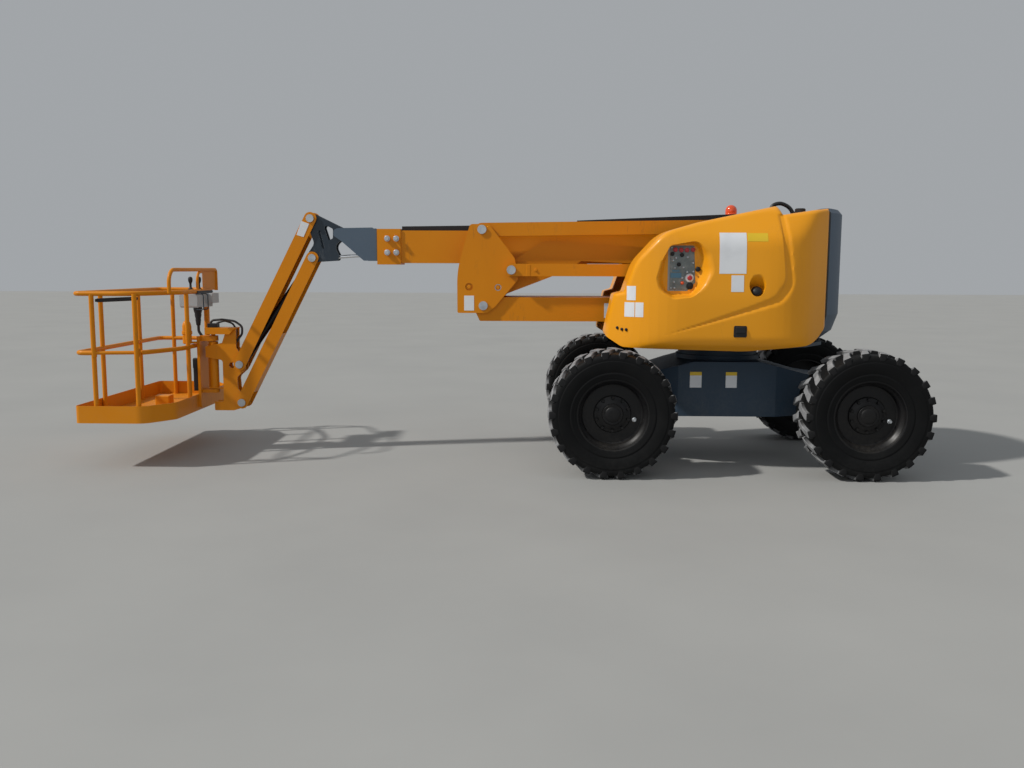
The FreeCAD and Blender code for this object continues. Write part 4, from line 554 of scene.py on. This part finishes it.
def within(points, loop):
    """Which points lie inside a closed outline: a ray from each crosses it an odd number of times."""
    a, b = loop, np.roll(loop, -1, 0)
    x, z = points[:, None, 0], points[:, None, 1]
    straddles = (a[:, 1] > z) != (b[:, 1] > z)
    rise = np.where(b[:, 1] == a[:, 1], 1e-9, b[:, 1] - a[:, 1])
    return np.sum(straddles & (x < a[:, 0] + (z - a[:, 1]) / rise * (b[:, 0] - a[:, 0])), 1) % 2 == 1


def on_line(x, line):
    """The second number of a line's points where the first is x."""
    return np.interp(x, line[:, 0], line[:, 1])


side_loop = outline_of(HOOD_SIDE)
nose, rear = NOSE_CORNER * STEPS + STEPS // 2, REAR_CORNER * STEPS
TOP = np.concatenate([side_loop[nose:], side_loop[:rear]])
BOTTOM = side_loop[rear:nose + 1][::-1]
PLAN = outline_of(HOOD_PLAN, False)
SECTION = outline_of(HOOD_SECTION, False)
REAR = int(np.argmax(PLAN[:, 0]))
groove = outline_of(GROOVE)
GROOVE_LOOP = np.concatenate([groove, groove[:1]])


def hood_y(x, z):
    """How far the moulding stands from the centre plane at (x, z) in millimetres: the lower of its plan and its
    section, blended, rounded off towards its front and top edge, and sunk along the groove."""
    shape = np.shape(x)
    points = np.stack([np.ravel(x), np.ravel(z)], -1).astype(float)
    plan = on_line(points[:, 0], PLAN[:REAR + 1])
    section = on_line(points[:, 1], SECTION[:, ::-1])
    y = BLEND_RISE - BLEND * np.logaddexp(-plan / BLEND, -section / BLEND)
    short = np.clip(EDGE - away(points, TOP), 0, EDGE)
    y -= EDGE - np.sqrt(EDGE ** 2 - short ** 2)
    depth = np.clip(away(points, GROOVE_LOOP) / GROOVE_WALL, 0, 1) * within(points, GROOVE_LOOP)
    y -= GROOVE_DEPTH * np.sin(depth * np.pi / 2)
    return np.maximum(y, HOOD_INNER).reshape(shape)


def around(loop, centre, angle):
    """The points of a star-shaped outline in given directions from a centre."""
    part = np.linspace(0, 1, 24, endpoint=False)[:, None, None]
    loop = (loop + (np.roll(loop, -1, 0) - loop) * part).transpose(1, 0, 2).reshape(-1, 2)
    turn = np.arctan2(loop[:, 1] - centre[1], loop[:, 0] - centre[0])
    order = np.argsort(turn)
    reach = np.interp(angle, turn[order], np.hypot(*(loop - centre).T)[order], period=2 * np.pi)
    return np.asarray(centre) + reach[:, None] * np.stack([np.cos(angle), np.sin(angle)], -1)


def hood_grid():
    """(x, z) and y of the moulding: columns fan from its bottom edge to its top edge and turn inwards."""
    run = np.concatenate([[0], np.cumsum(np.linalg.norm(np.diff(TOP, axis=0), axis=1))])
    half = len(TOP) // 2
    last = np.interp(PLAN[REAR, 0], TOP[half:, 0], run[half:])
    s = np.linspace(0, last, COLUMNS)
    top = np.stack([np.interp(s, run, line) for line in TOP.T], -1)
    fan = np.clip(s / np.interp(FAN_END, TOP[ABOVE_NOSE:, 0], run[ABOVE_NOSE:]), 0, 1)
    low_x = top[:, 0] + FAN_BOW * np.sin(np.pi * fan)
    low = np.stack([low_x, on_line(low_x, BOTTOM)], -1)
    wall = PLAN[REAR + 1:]
    wall_top = np.stack([wall[:, 0], on_line(wall[:, 0], TOP[half:])], -1)
    wall_low = np.stack([wall[:, 0], on_line(wall[:, 0], BOTTOM)], -1)
    top, low = np.concatenate([top, wall_top]), np.concatenate([low, wall_low])
    w = np.linspace(0, 1, ROWS)
    v = w - 0.5 * np.sin(2 * np.pi * w) / (2 * np.pi)
    spot = low[:, None] + (top - low)[:, None] * v[:, None]
    y = hood_y(spot[..., 0], spot[..., 1])
    y[COLUMNS:] = np.minimum(y[COLUMNS:], wall[:, 1][:, None])
    part = np.linspace(0, 1, LIP_ROWS)[1:]
    lip = y[:, -1:] + (HOOD_INNER - y[:, -1:]) * part
    spot = np.concatenate([spot, np.repeat(spot[:, -1:], LIP_ROWS - 1, 1)], 1)
    return spot, np.concatenate([y, lip], 1)


def cell_block(mark):
    """The rectangle of grid cells round the marked points, and the loop of points on its border."""
    i, j = np.flatnonzero(mark.any(1)), np.flatnonzero(mark.any(0))
    i0, i1, j0, j1 = i[0] - 2, i[-1] + 2, j[0] - 2, j[-1] + 2
    loop = [(i, j0) for i in range(i0, i1)] + [(i1, j) for j in range(j0, j1)]
    loop += [(i, j1) for i in range(i1, i0, -1)] + [(i0, j) for j in range(j1, j0, -1)]
    return (i0, i1, j0, j1), np.array(loop)


def recess_rings(edge, edge_y, angle):
    """Rings from the recess's rim down a soft step to its floor, as far as the panel's opening."""
    inner = around(outline_of(RECESS_FLOOR), RECESS_CENTRE, angle)
    parts = np.linspace(0, 1, 13)[1:]
    rings = [edge + (inner - edge) * f for f in parts]
    depths = [edge_y + (RECESS_Y - edge_y) * (f - 0.7 * np.sin(2 * np.pi * f) / (2 * np.pi)) for f in parts]
    rings.append(around(outline_of(PANEL_HOLE), RECESS_CENTRE, angle))
    depths.append(np.full(len(angle), float(RECESS_Y)))
    return rings, depths


def pocket_rings(edge):
    """Rings of the hand pocket: the far wall of a slanting round hole, blended into its flat end."""
    rings, depths = [], []
    for f in (0.97, 0.93, 0.87, 0.78, 0.66, 0.5, 0.3, 0.1, 0.0):
        ring = np.array(POCKET_CENTRE) + (edge - POCKET_CENTRE) * f
        dx, rise = ring[:, 0] - POCKET_CENTRE[0], ring[:, 1] - POCKET_Z
        round_ = np.sqrt(np.maximum(POCKET_WIDE ** 2 - dx ** 2, 0))
        wall = POCKET_Y - (round_ - POCKET_AXIS_Y * rise) / POCKET_AXIS_Z
        end = POCKET_Y - (POCKET_LONG + POCKET_AXIS_Z * rise) / POCKET_AXIS_Y
        rings.append(ring)
        depths.append(np.minimum(6 * np.logaddexp(wall / 6, end / 6), hood_y(ring[:, 0], ring[:, 1])))
    return rings, depths


def openings(spot, y, faces, sign):
    """The grid's faces without two blocks of cells, and the rings that lead down into the opening of each."""
    turn = np.linspace(0, 2 * np.pi, 90, endpoint=False)
    mouth = np.array(POCKET_CENTRE) + np.stack([POCKET_WIDE * np.cos(turn), POCKET_HIGH * np.sin(turn)], -1)
    cell_i, cell_j = np.divmod(np.arange(len(faces)), y.shape[1] - 1)
    keep, patches = np.ones(len(faces), bool), []
    for loop, centre in ((outline_of(RECESS_RIM), RECESS_CENTRE), (mouth, POCKET_CENTRE)):
        mark = within(spot.reshape(-1, 2), loop).reshape(y.shape)
        mark[:, ROWS:] = False
        (i0, i1, j0, j1), border = cell_block(mark)
        keep &= ~((cell_i >= i0) & (cell_i < i1) & (cell_j >= j0) & (cell_j < j1))
        start = spot[border[:, 0], border[:, 1]]
        angle = np.arctan2(start[:, 1] - centre[1], start[:, 0] - centre[0])
        edge = around(loop, centre, angle)
        rings = [start + (edge - start) * f for f in (0.0, 0.35, 0.65, 0.85, 1.0)]
        depths = [y[border[:, 0], border[:, 1]]] + [hood_y(ring[:, 0], ring[:, 1]) for ring in rings[1:]]
        more = pocket_rings(edge) if loop is mouth else recess_rings(edge, depths[4], angle)
        ring_spot, ring_y = np.stack(rings + more[0]), np.stack(depths + more[1])
        patches.append(surface(at(ring_spot[..., 0], sign * ring_y, ring_spot[..., 1]), False, True))
    return faces[keep], patches


for side, sign in SIDES:
    spot, y = hood_grid()
    faces, patches = grid_faces(*y.shape), []
    if side == "near":
        faces, patches = openings(spot, y, faces, sign)
    points = at(spot[..., 0], sign * y, spot[..., 1]).reshape(-1, 3)
    piece(side + "_moulding", [(points, faces.tolist())] + patches, side + "_hood", GELCOAT, 42,
        ("hood_" + side,), SHELL)

# Tyres

HALF_PROFILE = np.array([(297, 178), (303, 190), (318, 196), (334, 197), (342, 201), (350, 201), (358, 197),
    (384, 206), (420, 211.5), (443, 212.5), (450, 212.5), (455, 209), (463, 210), (480, 208), (495, 203),
    (503, 195), (507, 180), (509, 120), (510, 40)]) / 1000
# Of each lug section: base radius, base width, top radius, top width, turn, half length of the top
LUG_STEPS = np.array([(468, 205, 472, 211, -0.004, 15), (490, 200, 514, 212, -0.002, 23),
    (500, 190, 529, 206, 0.002, 26), (504, 160, 535, 172, 0.016, 25), (505, 105, 537, 112, 0.052, 21),
    (505, 55, 537.4, 58, 0.09, 21), (505, 20, 537.4, 20, 0.118, 27), (505, -12, 536, -8, 0.13, 22)])
LUG_EDGES = [(-1, -0.014), (-1, -0.002), (-1, 0.008), (1, -0.008), (1, 0.002), (1, 0.014)]
LUGS, LUG_STRETCH, LUG_RADIUS = 22, 1.2, 0.53
WHEEL_X, WHEEL_Y, WHEEL_Z = 1050, 937.5, 537.5


def tyre(name, body, node_name, x, y):
    """Carcass: a mirrored section turned about the axle. Lugs: a bevelled bar section carried from the side
    wall to the middle of the tread with a growing turn, repeated round both shoulders half a pitch apart."""
    centre = at(x, y, WHEEL_Z)
    section = np.concatenate([HALF_PROFILE, HALF_PROFILE[::-1] * [1, -1]])
    carcass = turned(section, centre, ACROSS, 96, True)
    base_r, base_y, top_r, top_y, turn, half = LUG_STEPS.T
    half = half * LUG_STRETCH / 1000 / LUG_RADIUS
    across = np.stack([s * half + d for s, d in LUG_EDGES], 1)
    rise = np.array([0, 0.86, 1, 1, 0.86, 0])
    radius = (base_r[:, None] + (top_r - base_r)[:, None] * rise) / 1000
    wide = (base_y[:, None] + (top_y - base_y)[:, None] * rise) / 1000
    patches = []
    for side, shift in ((1, 0.0), (-1, 0.5)):
        start = (np.arange(LUGS) + shift) * 2 * np.pi / LUGS
        angle = start[:, None, None] + (turn[:, None] + across)[None]
        sideways = np.broadcast_to(side * wide, angle.shape)
        patches.append(many(centre + np.stack([radius * np.sin(angle), sideways, radius * np.cos(angle)], -1)))
    piece(name + "_carcass", [carcass], body, RUBBER, 40, (node_name,))
    piece(name + "_lugs", patches, body, TREAD, 25)


def wheel_face(name, body, x, y, outward):
    """Flange ring, stepped well and hub cap of a wheel, turned about the axle, with nuts and a valve."""
    centre = at(x, y, WHEEL_Z)
    axis = (0, outward, 0)
    flange = np.array([(249, 112), (252, 132), (260, 146), (272, 157), (283, 170), (290, 183), (300, 188),
        (308, 184), (311, 177), (302, 174), (292, 160), (278, 148), (264, 134), (257, 112)]) / 1000
    well = np.array([(283.5, 96), (276, 97), (268, 101), (258, 101), (246, 96.5), (240, 95)]) / 1000
    cap = np.array([(0, 150), (30, 150), (52, 148), (62, 143), (66, 139), (84, 139), (89, 134), (91, 124),
        (120, 118), (128, 112), (150, 108), (158, 95)]) / 1000
    dark = [turned(flange, centre, axis, 96, True), turned(well, centre, axis, 96),
        turned(cap, centre, axis, 64)]
    for n, reach, depth, size, tall in ((10, 0.138, 0.108, 0.0125, 0.02), (5, 0.074, 0.138, 0.006, 0.006)):
        turn = np.linspace(0, 2 * np.pi, n, endpoint=False)
        places = np.stack([reach * np.sin(turn), np.full(n, outward * depth), reach * np.cos(turn)], -1)
        dark += heads(centre + places, axis, size, tall)
    piece(name + "_face", dark, body, WHEEL, 30)
    stem = centre + np.array([0.182, outward * 0.098, -0.045])
    piece(name + "_valve", [turned([(0, 0.038), (0.011, 0.038), (0.013, 0.034), (0.013, 0.014), (0.019, 0.011),
        (0.019, -0.004)], stem, axis, 18)], body, ZINC)


for end, x in (("front", -WHEEL_X), ("rear", WHEEL_X)):
    for side, sign in SIDES:
        body = "%s_%s_wheel" % (end, side)
        tyre("tread_%s_%s" % (end, side), body, "tyre_%s_%s" % (end, side), x, sign * WHEEL_Y)
        wheel_face("wheel_%s_%s" % (end, side), body, x, sign * WHEEL_Y, sign)

# Basket rails: round tubes with real bends

RAIL_PLAN = [(-5615, 885, 60), (-5090, 885, 260), (-4890, 380, 200), (-4890, -380, 200), (-5090, -885, 260),
    (-5615, -885, 60)]
TOP_RAIL, MIDDLE_RAIL, RAIL = 1515, 1010, 0.0205


def rail_path(z):
    """The rails' plan, a rounded polygon, at a height."""
    return rounded([at(x, y, z) for x, y, r in RAIL_PLAN], [r / 1000 for x, y, r in RAIL_PLAN], True, 12)


def post(x, y, low, high):
    """An upright round tube."""
    tall = (high - low) / 1000
    return turned([(0, 0), (RAIL, 0), (RAIL, tall), (0, tall)], at(x, y, low), UP, 20)


def hoop(places, radii, radius):
    """A tube over the basket's rail nearest the boom, through (y, z) places."""
    return pipe(rounded([at(-4890, y, z) for y, z in places], radii, False, 12), radius, (1, 0, 0), 16)


middle = rail_path(MIDDLE_RAIL)
entry = (middle[:, 0] > at(-5300, 0, 0)[0]) & (middle[:, 0] < at(-5104, 0, 0)[0]) & (middle[:, 1] < -0.5)
middle = middle[~entry]
first = np.flatnonzero((middle[:, 1] < -0.5) & (middle[:, 0] < at(-5500, 0, 0)[0]))[0]
middle = np.concatenate([at(-5465, -885, MIDDLE_RAIL)[None], np.roll(middle, -first, 0)])
rail_patches = [hoop([(45, TOP_RAIL), (45, 1697), (200, 1697)], [0, 0.085, 0], 0.013),
    pipe(rail_path(TOP_RAIL), RAIL, UP, 20, True), pipe(middle, RAIL, UP, 20),
    hoop([(-640, TOP_RAIL), (-640, 1718), (560, 1718), (560, TOP_RAIL)], [0, 0.12, 0.035, 0], 0.017)]
POSTS = [(-5465, -885), (-5100, -877), (-5465, 885), (-5100, 877), (-5615, -400), (-5615, 400), (-4890, -250),
    (-4890, 250)]
rail_patches += [post(x, y, 424, 1512) for x, y in POSTS]
(x0, y0, z0), (x1, y1, z1) = at(-4892, 185, 1520), at(-4888, 555, 1713)
rail_patches.append(slab([(y0, z0), (y1, z0), (y1, z1), (y0, z1)], x0, x1, "YZ", 0.001))
piece("tube_rails", rail_patches, "basket", ORANGE, 40, ("basket_rails",))

# Basket fittings

piece("entry_pad", [pipe(at([-5440, -5080], -858, [1456, 1474]), 0.013, ACROSS),
    pipe(at([-5425, -5095], -858, [1457, 1473]), 0.017, ACROSS)], "basket", BLACK)
piece("foot_box", [box((-5180, -360, 425), (-5040, -240, 478), 4), box((-5176, -356, 476), (-5044, -244, 572),
    8)], "basket", ORANGE)
tread = np.stack(np.meshgrid(np.arange(-5590, -5190, 36), np.arange(-840, 850, 36))).reshape(2, -1)
piece("floor_tread", [studs(at(*tread, 425), UP, [(0.011, -0.001), (0.010, 0.0008), (0.006, 0.0016)], 8)],
    "basket", ORANGE)

# Console: a box with a sloped lid, two housings, joysticks, switches and a cable funnel

piece("console_lid", [flat([(-5046, 1497), (-4860, 1497), (-4866, 1519), (-5040, 1508)], -24, 384, 3)],
    "basket", BLACK)
piece("console_face", [box((-5044, -18, 1372), (-5039, 378, 1488), 2),
    box((-5036, -26, 1372), (-4870, -19, 1488), 2), box((-4880, 190, 1398), (-4800, 370, 1492), 5)], "basket",
    GREY)
sticks = at([-4950, -4905], [30, 130], 1506)
piece("joysticks", [studs(sticks, UP, [(0.034, 0), (0.034, 0.006), (0.030, 0.012), (0.033, 0.017),
    (0.024, 0.024), (0.027, 0.029), (0.017, 0.038), (0.011, 0.046), (0.010, 0.080), (0.015, 0.092),
    (0.020, 0.105), (0.021, 0.128), (0.016, 0.141), (0.006, 0.146)], 24)], "basket", BLACK, 50)
switches = at([-4985, -4985, -4985, -4940, -4940], [170, 220, 270, 190, 250], 1503)
piece("console_switches",
    [studs(switches, UP, [(0.011, 0), (0.011, 0.006), (0.004, 0.009), (0.0045, 0.026), (0.002, 0.028)], 14)],
    "basket", ZINC, 40)
piece("stop_button", [studs(at(-4990, 330, 1500), UP, [(0.012, 0), (0.012, 0.018), (0.021, 0.02), (0.021, 0.03),
    (0.014, 0.037), (0.003, 0.039)], 24)], "basket", RED, 50)
piece("cable_funnel", [turned([(0, 0.172), (0.040, 0.172), (0.041, 0.150), (0.030, 0.110), (0.032, 0.100),
    (0.024, 0.060), (0.026, 0.052), (0.019, 0.0), (0, 0)], at(-4885, 20, 1195), UP, 28)], "basket", BLACK, 50)
cage = [(-4868, 1492), (-4800, 1492), (-4800, 1345), (-4868, 1345)]
piece("console_cage", [bent(cage, y, [0, 0.02, 0.02, 0], 0.005, 10) for y in (-60, 60)], "basket", BRACKET)

# Blank signs

SIGNS = [  # name, body, y of its side if that is flat, x from, x to, z from, z to, look
    ("chart", "near_hood", None, -191, 28, 1700, 2034, WHITE),
    ("note", "near_hood", None, 36, 203, 1962, 2031, YELLOW),
    ("small", "near_hood", None, -92, 10, 1552, 1687, WHITE),
    ("corner_high", "near_hood", None, -928, -858, 1476, 1595, WHITE),
    ("corner_low", "near_hood", None, -944, -866, 1337, 1459, WHITE),
    ("corner_side", "near_hood", None, -860, -796, 1337, 1459, WHITE),
    ("arm", "lower_stage", -281, -1077, -991, 1297, 1429, WHITE),
    ("knuckle", "arm_knuckle", -308, -2339, -2250, 1360, 1494, WHITE),
    ("frame_left", "chassis", -500, -327, -224, 697, 805, WHITE),
    ("frame_left_top", "chassis", -500, -327, -224, 805, 836, YELLOW),
    ("frame_right", "chassis", -500, -12, 86, 697, 805, WHITE),
    ("frame_right_top", "chassis", -500, -12, 86, 805, 836, YELLOW),
]
SIGN_PITCH = 10
for name, body, side_y, x0, x1, z0, z1, look in SIGNS:
    columns, rows = (int(size / SIGN_PITCH) + 2 for size in (x1 - x0, z1 - z0))
    x, z = np.meshgrid(np.linspace(x0, x1, columns), np.linspace(z0, z1, rows))
    piece("sign_" + name, [laid_on(-hood_y(x, z) if side_y is None else side_y, x, z)], body, look, 50)

# Ground control panel in its recess

FACE_Y = -880
piece("panel_face", [flat([(-581, 1926), (-369, 1926), (-331, 1788), (-335, 1706), (-386, 1568), (-579, 1568)],
    FACE_Y - 8, FACE_Y + 2, 2)], "turret", PANEL)


def knobs(name, places, radius, length, look=BLACK):
    """Round knobs on the panel: a wide foot, a waist and a domed cap."""
    x, z = np.array(places, float).T
    profile = np.array([(1.15, -0.1), (1.15, 0.12), (0.8, 0.2), (0.8, 0.35), (1.0, 0.45), (1.0, 0.85),
        (0.8, 0.97), (0.3, 1.0)])
    piece(name, [studs(at(x, FACE_Y - 8, z), OUT, profile * [radius / 1000, length / 1000], 18)], "turret",
        look, 50)


knobs("panel_red_buttons", [(-539, 1896), (-491, 1893), (-443, 1893), (-393, 1896)], 17, 20, RED)
knobs("panel_switches", [(-533, 1828), (-437, 1835), (-557, 1807), (-542, 1746), (-392, 1787), (-471, 1750),
    (-438, 1712), (-388, 1716), (-478, 1664), (-546, 1630), (-541, 1581)], 8, 26, ZINC)
knobs("panel_dials", [(-483, 1853), (-507, 1775), (-411, 1596), (-563, 1862)], 15, 16)
knobs("panel_stop_ring", [(-417, 1664)], 31, 10, WHITE)
knobs("panel_stop", [(-417, 1664)], 20, 30, RED)
knobs("panel_key", [(-350, 1736)], 20, 30)
knobs("panel_plug", [(-411, 1596)], 27, 12)
piece("panel_lamp", [studs(at(-477, FACE_Y - 8, 1623), OUT, [(0.014, 0), (0.014, 0.008), (0.009, 0.014),
    (0.002, 0.016)], 18)], "turret", LENS, 50)
piece("panel_blanks", [flat([(-575, 1705), (-485, 1705), (-485, 1664), (-575, 1664)], FACE_Y - 11, FACE_Y - 7,
    1), flat([(-560, 1728), (-500, 1728), (-500, 1716), (-560, 1716)], FACE_Y - 10, FACE_Y - 7, 1)], "turret",
    BLUE)
piece("panel_screws", heads(at([-568, -384, -350, -398, -568], FACE_Y - 8, [1914, 1914, 1790, 1580, 1580]), OUT,
    0.005, 0.004), "turret", ZINC)

# Hood fittings

latch_y = -float(hood_y(0.0, 1226.0))
piece("hood_latch", [flat([(-58, 1262), (-52, 1274), (44, 1274), (50, 1262), (50, 1190), (44, 1178),
    (-52, 1178), (-58, 1190)], latch_y - 5, latch_y + 12, 2),
    flat([(-44, 1262), (-40, 1264), (32, 1264), (36, 1260), (36, 1212), (-44, 1212)], latch_y - 16, latch_y - 2,
    4)], "near_hood", BLACK)
stop_x, stop_z = [-998, -962, -928], [1240, 1229, 1228]
stop_y = -hood_y(stop_x, stop_z)
piece("hood_stops", [studs(at(stop_x, stop_y + 2, stop_z), OUT, [(0.013, 0), (0.013, 0.01), (0.009, 0.017),
    (0.004, 0.018)], 16)], "near_hood", BLACK, 50)
dome_turn = np.linspace(0, np.pi / 2, 9)
knob = np.concatenate([[(30, -4), (30, 6), (46, 12)],
    np.stack([46 * np.cos(dome_turn), 20 + 34 * np.sin(dome_turn)], -1)[:-1], [(3, 54)]])
piece("pocket_knob", [studs(at(POCKET_CENTRE[0], -957, 1543), (0, -POCKET_AXIS_Y, POCKET_AXIS_Z), knob / 1000,
    28)], "near_hood", BLACK, 50)

# Beacon: a domed lens on a collar

low, high = (np.array(v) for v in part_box("beacon"))
beacon_foot = [*(low + high)[:2] / 2, low[2]]
height = high[2] - low[2]
dome_turn = np.linspace(0, np.pi / 2, 12)
DOME = 0.056
dome = np.stack([DOME * np.cos(dome_turn), height - DOME + DOME * np.sin(dome_turn)], -1)
piece("beacon_dome", [turned(np.concatenate([[(0, 0.034), (0.054, 0.034), (DOME, 0.038), (DOME, 0.05),
    (0.0545, 0.052), (DOME, 0.055)], dome]), beacon_foot, UP, 40)], "far_hood", LENS, 40, ("beacon",))
piece("beacon_foot", [turned([(0, -0.001), (0.058, -0.001), (0.058, 0.02), (0.054, 0.026), (0.054, 0.034),
    (0, 0.035)], beacon_foot, UP, 40)], "far_hood", BLACK, 40)

# Boom, arms and jib fittings

def bolted(name, body, x, y, z, radius, height, look=ZINC):
    """Bolt heads at the same places on both sides, standing outwards."""
    piece(name, heads(at(x, -y, z), OUT, radius, height) + heads(at(x, y, z), ACROSS, radius, height), body,
        look)


bolted("collar_bolts", "outer_boom", [-3055, -2972, -3055, -2972], 147, [2006, 2006, 1880, 1880], 0.020, 0.018)
bolted("cross_tube_bolts", "arm_knuckle", [-2295, -2034], 298, [1573, 1568], 0.017, 0.012, ORANGE)
bolted("tie_bolt", "tie_stage", [-1696], 373, [1723], 0.012, 0.01, ORANGE)

long_loop = [(-4753, 1200), (-4740, 1246), (-4640, 1254), (-4523, 1240), (-4452, 1190), (-4455, 1120),
    (-4531, 1017)]
short_loop = [(-4726, 1200), (-4700, 1222), (-4633, 1239), (-4560, 1215), (-4520, 1150), (-4545, 1040)]
piece("fork_hoses", [bent(long_loop, -30, [0, 0.03, 0.1, 0.1, 0.05, 0.05, 0], 0.0105),
    bent(short_loop, 25, [0, 0.03, 0.06, 0.06, 0.06, 0], 0.009)], "fork", HOSE, 50)
piece("valve_block", [box((-4778, -48, 1177), (-4690, 42, 1216), 4)], "fork", BLACK)
piece("swivel_motor", [studs(at(-4933, -150, 0), UP,
    np.array([(30, 1032), (41, 1040), (41, 1120), (47, 1124), (47, 1150), (41, 1154), (41, 1196), (36, 1222),
    (24, 1242), (6, 1250)]) / 1000, 28), box((-4952, -152, 1036), (-4842, -104, 1052), 3)], "basket", ORANGE,
    40)
piece("manual_box", [box((-4908, -100, 585), (-4862, -26, 892), 8), box((-4911, -96, 800), (-4906, -30, 884),
    2)], "basket", BLACK)
piece("console_hose", [bent([(-4885, 1198), (-4885, 1140), (-4850, 1086)], 20, [0, 0.05, 0], 0.013)], "basket",
    HOSE, 50)
piece("boom_hose", [bent([(450, 2210), (450, 2310), (530, 2345), (650, 2290), (665, 2130), (548, 2040)], 0,
    [0, 0.06, 0.1, 0.12, 0.09, 0], 0.018, 16)], "outer_boom", HOSE, 50)
track = [(-2930, 2079), (-2930, 2120), (-1326, 2142), (-1318, 2176), (110, 2236), (462, 2243), (508, 2215),
    (520, 2140), (520, 2079)]
piece("hose_run", [flat(track, -60, 60, 4)], "outer_boom", BLACK, 32, ("hose_track",))
piece("filler_cap", [studs(at(543, -640, 2209), UP, [(0.05, 0), (0.05, 0.014), (0.044, 0.018), (0.044, 0.034),
    (0.036, 0.041), (0.004, 0.043)], 28)], "near_hood", BLACK, 40)
piece("jib_plate", [flat([(-3854, 2165), (-3783, 2140), (-3838, 2019), (-3903, 2038)], -83, -79, 1)],
    "upper_jib", WHITE)
for side, sign in SIDES:
    y_low, y_high = sorted((sign * 312, sign * 376))
    piece("tie_collar_" + side, [box((-1778, y_low, 1669), (-1744, y_high, 1772), 2)], "tie_stage", ORANGE)

# Floor, light and camera

floor = shown("floor", bpy.data.meshes.new("floor"))
HALF = 60.0
floor.data.from_pydata([(-HALF, -HALF, 0), (HALF, -HALF, 0), (HALF, HALF, 0), (-HALF, HALF, 0)], [],
    [(0, 1, 2, 3)])
floor.data.materials.append(finish_of("pale floor", (0.345, 0.347, 0.338), faded=(0.385, 0.387, 0.375),
    deep=(0.3, 0.302, 0.297), fade=0.4, spread=0.6, dust=0.0, rough=(0.75, 0.9), grain=30, relief=0.1))

world = bpy.data.worlds.new("soft sky")
bpy.context.scene.world = world
world.use_nodes = True
feed(world.node_tree, world.node_tree.nodes["Background"].inputs, {0: (0.62, 0.65, 0.68, 1), 1: 0.58})


def posed(item, right, over, back, spot):
    """Place an object at a spot, with its own axes along three directions."""
    item.matrix_world = Matrix(np.vstack([np.column_stack([right, over, back, spot]), [0, 0, 0, 1]]).tolist())


def lamp(name, kind, spot, aim, energy, size, colour):
    """A soft lamp at a point, turned towards another."""
    data = bpy.data.lights.new(name, kind)
    data.energy, data.color = energy, colour
    setattr(data, "size" if kind == "AREA" else "angle", size)
    back, side, _ = frame_of(np.subtract(spot, aim, dtype=float))
    posed(shown(name, data), side, np.cross(back, side), back, spot)


lamp("sun through haze", "SUN", (-10.2, -3.5, 10.0), (0, 0, 0), 2.7, math.radians(2.5), (1.0, 0.97, 0.92))
lamp("front fill", "AREA", (-2, -11, 6), (0.5, 0, 1.0), 90, 8.0, (0.95, 0.97, 1.0))

CAMERA_PLACE = (-1685, -8715, 1730)
PITCH, YAW, ROLL = math.radians(7.02), math.radians(1.50), math.radians(0.18)
FOCAL, WIDE, SENSOR = 931.0, 1024, 36.0
ahead = np.array([-math.sin(YAW) * math.cos(PITCH), math.cos(YAW) * math.cos(PITCH), -math.sin(PITCH)])
right = np.array([math.cos(YAW), math.sin(YAW), 0.0])
over = np.cross(right, ahead)
upright, leaning = math.cos(ROLL), math.sin(ROLL)
camera = shown("camera", bpy.data.cameras.new("camera"))
camera.data.sensor_width = SENSOR
camera.data.lens = FOCAL / WIDE * SENSOR
camera.data.clip_end = 200
posed(camera, upright * right + leaning * over, upright * over - leaning * right, -ahead, at(*CAMERA_PLACE))
bpy.context.scene.camera = camera
bpy.context.scene.view_settings.view_transform = "Standard"
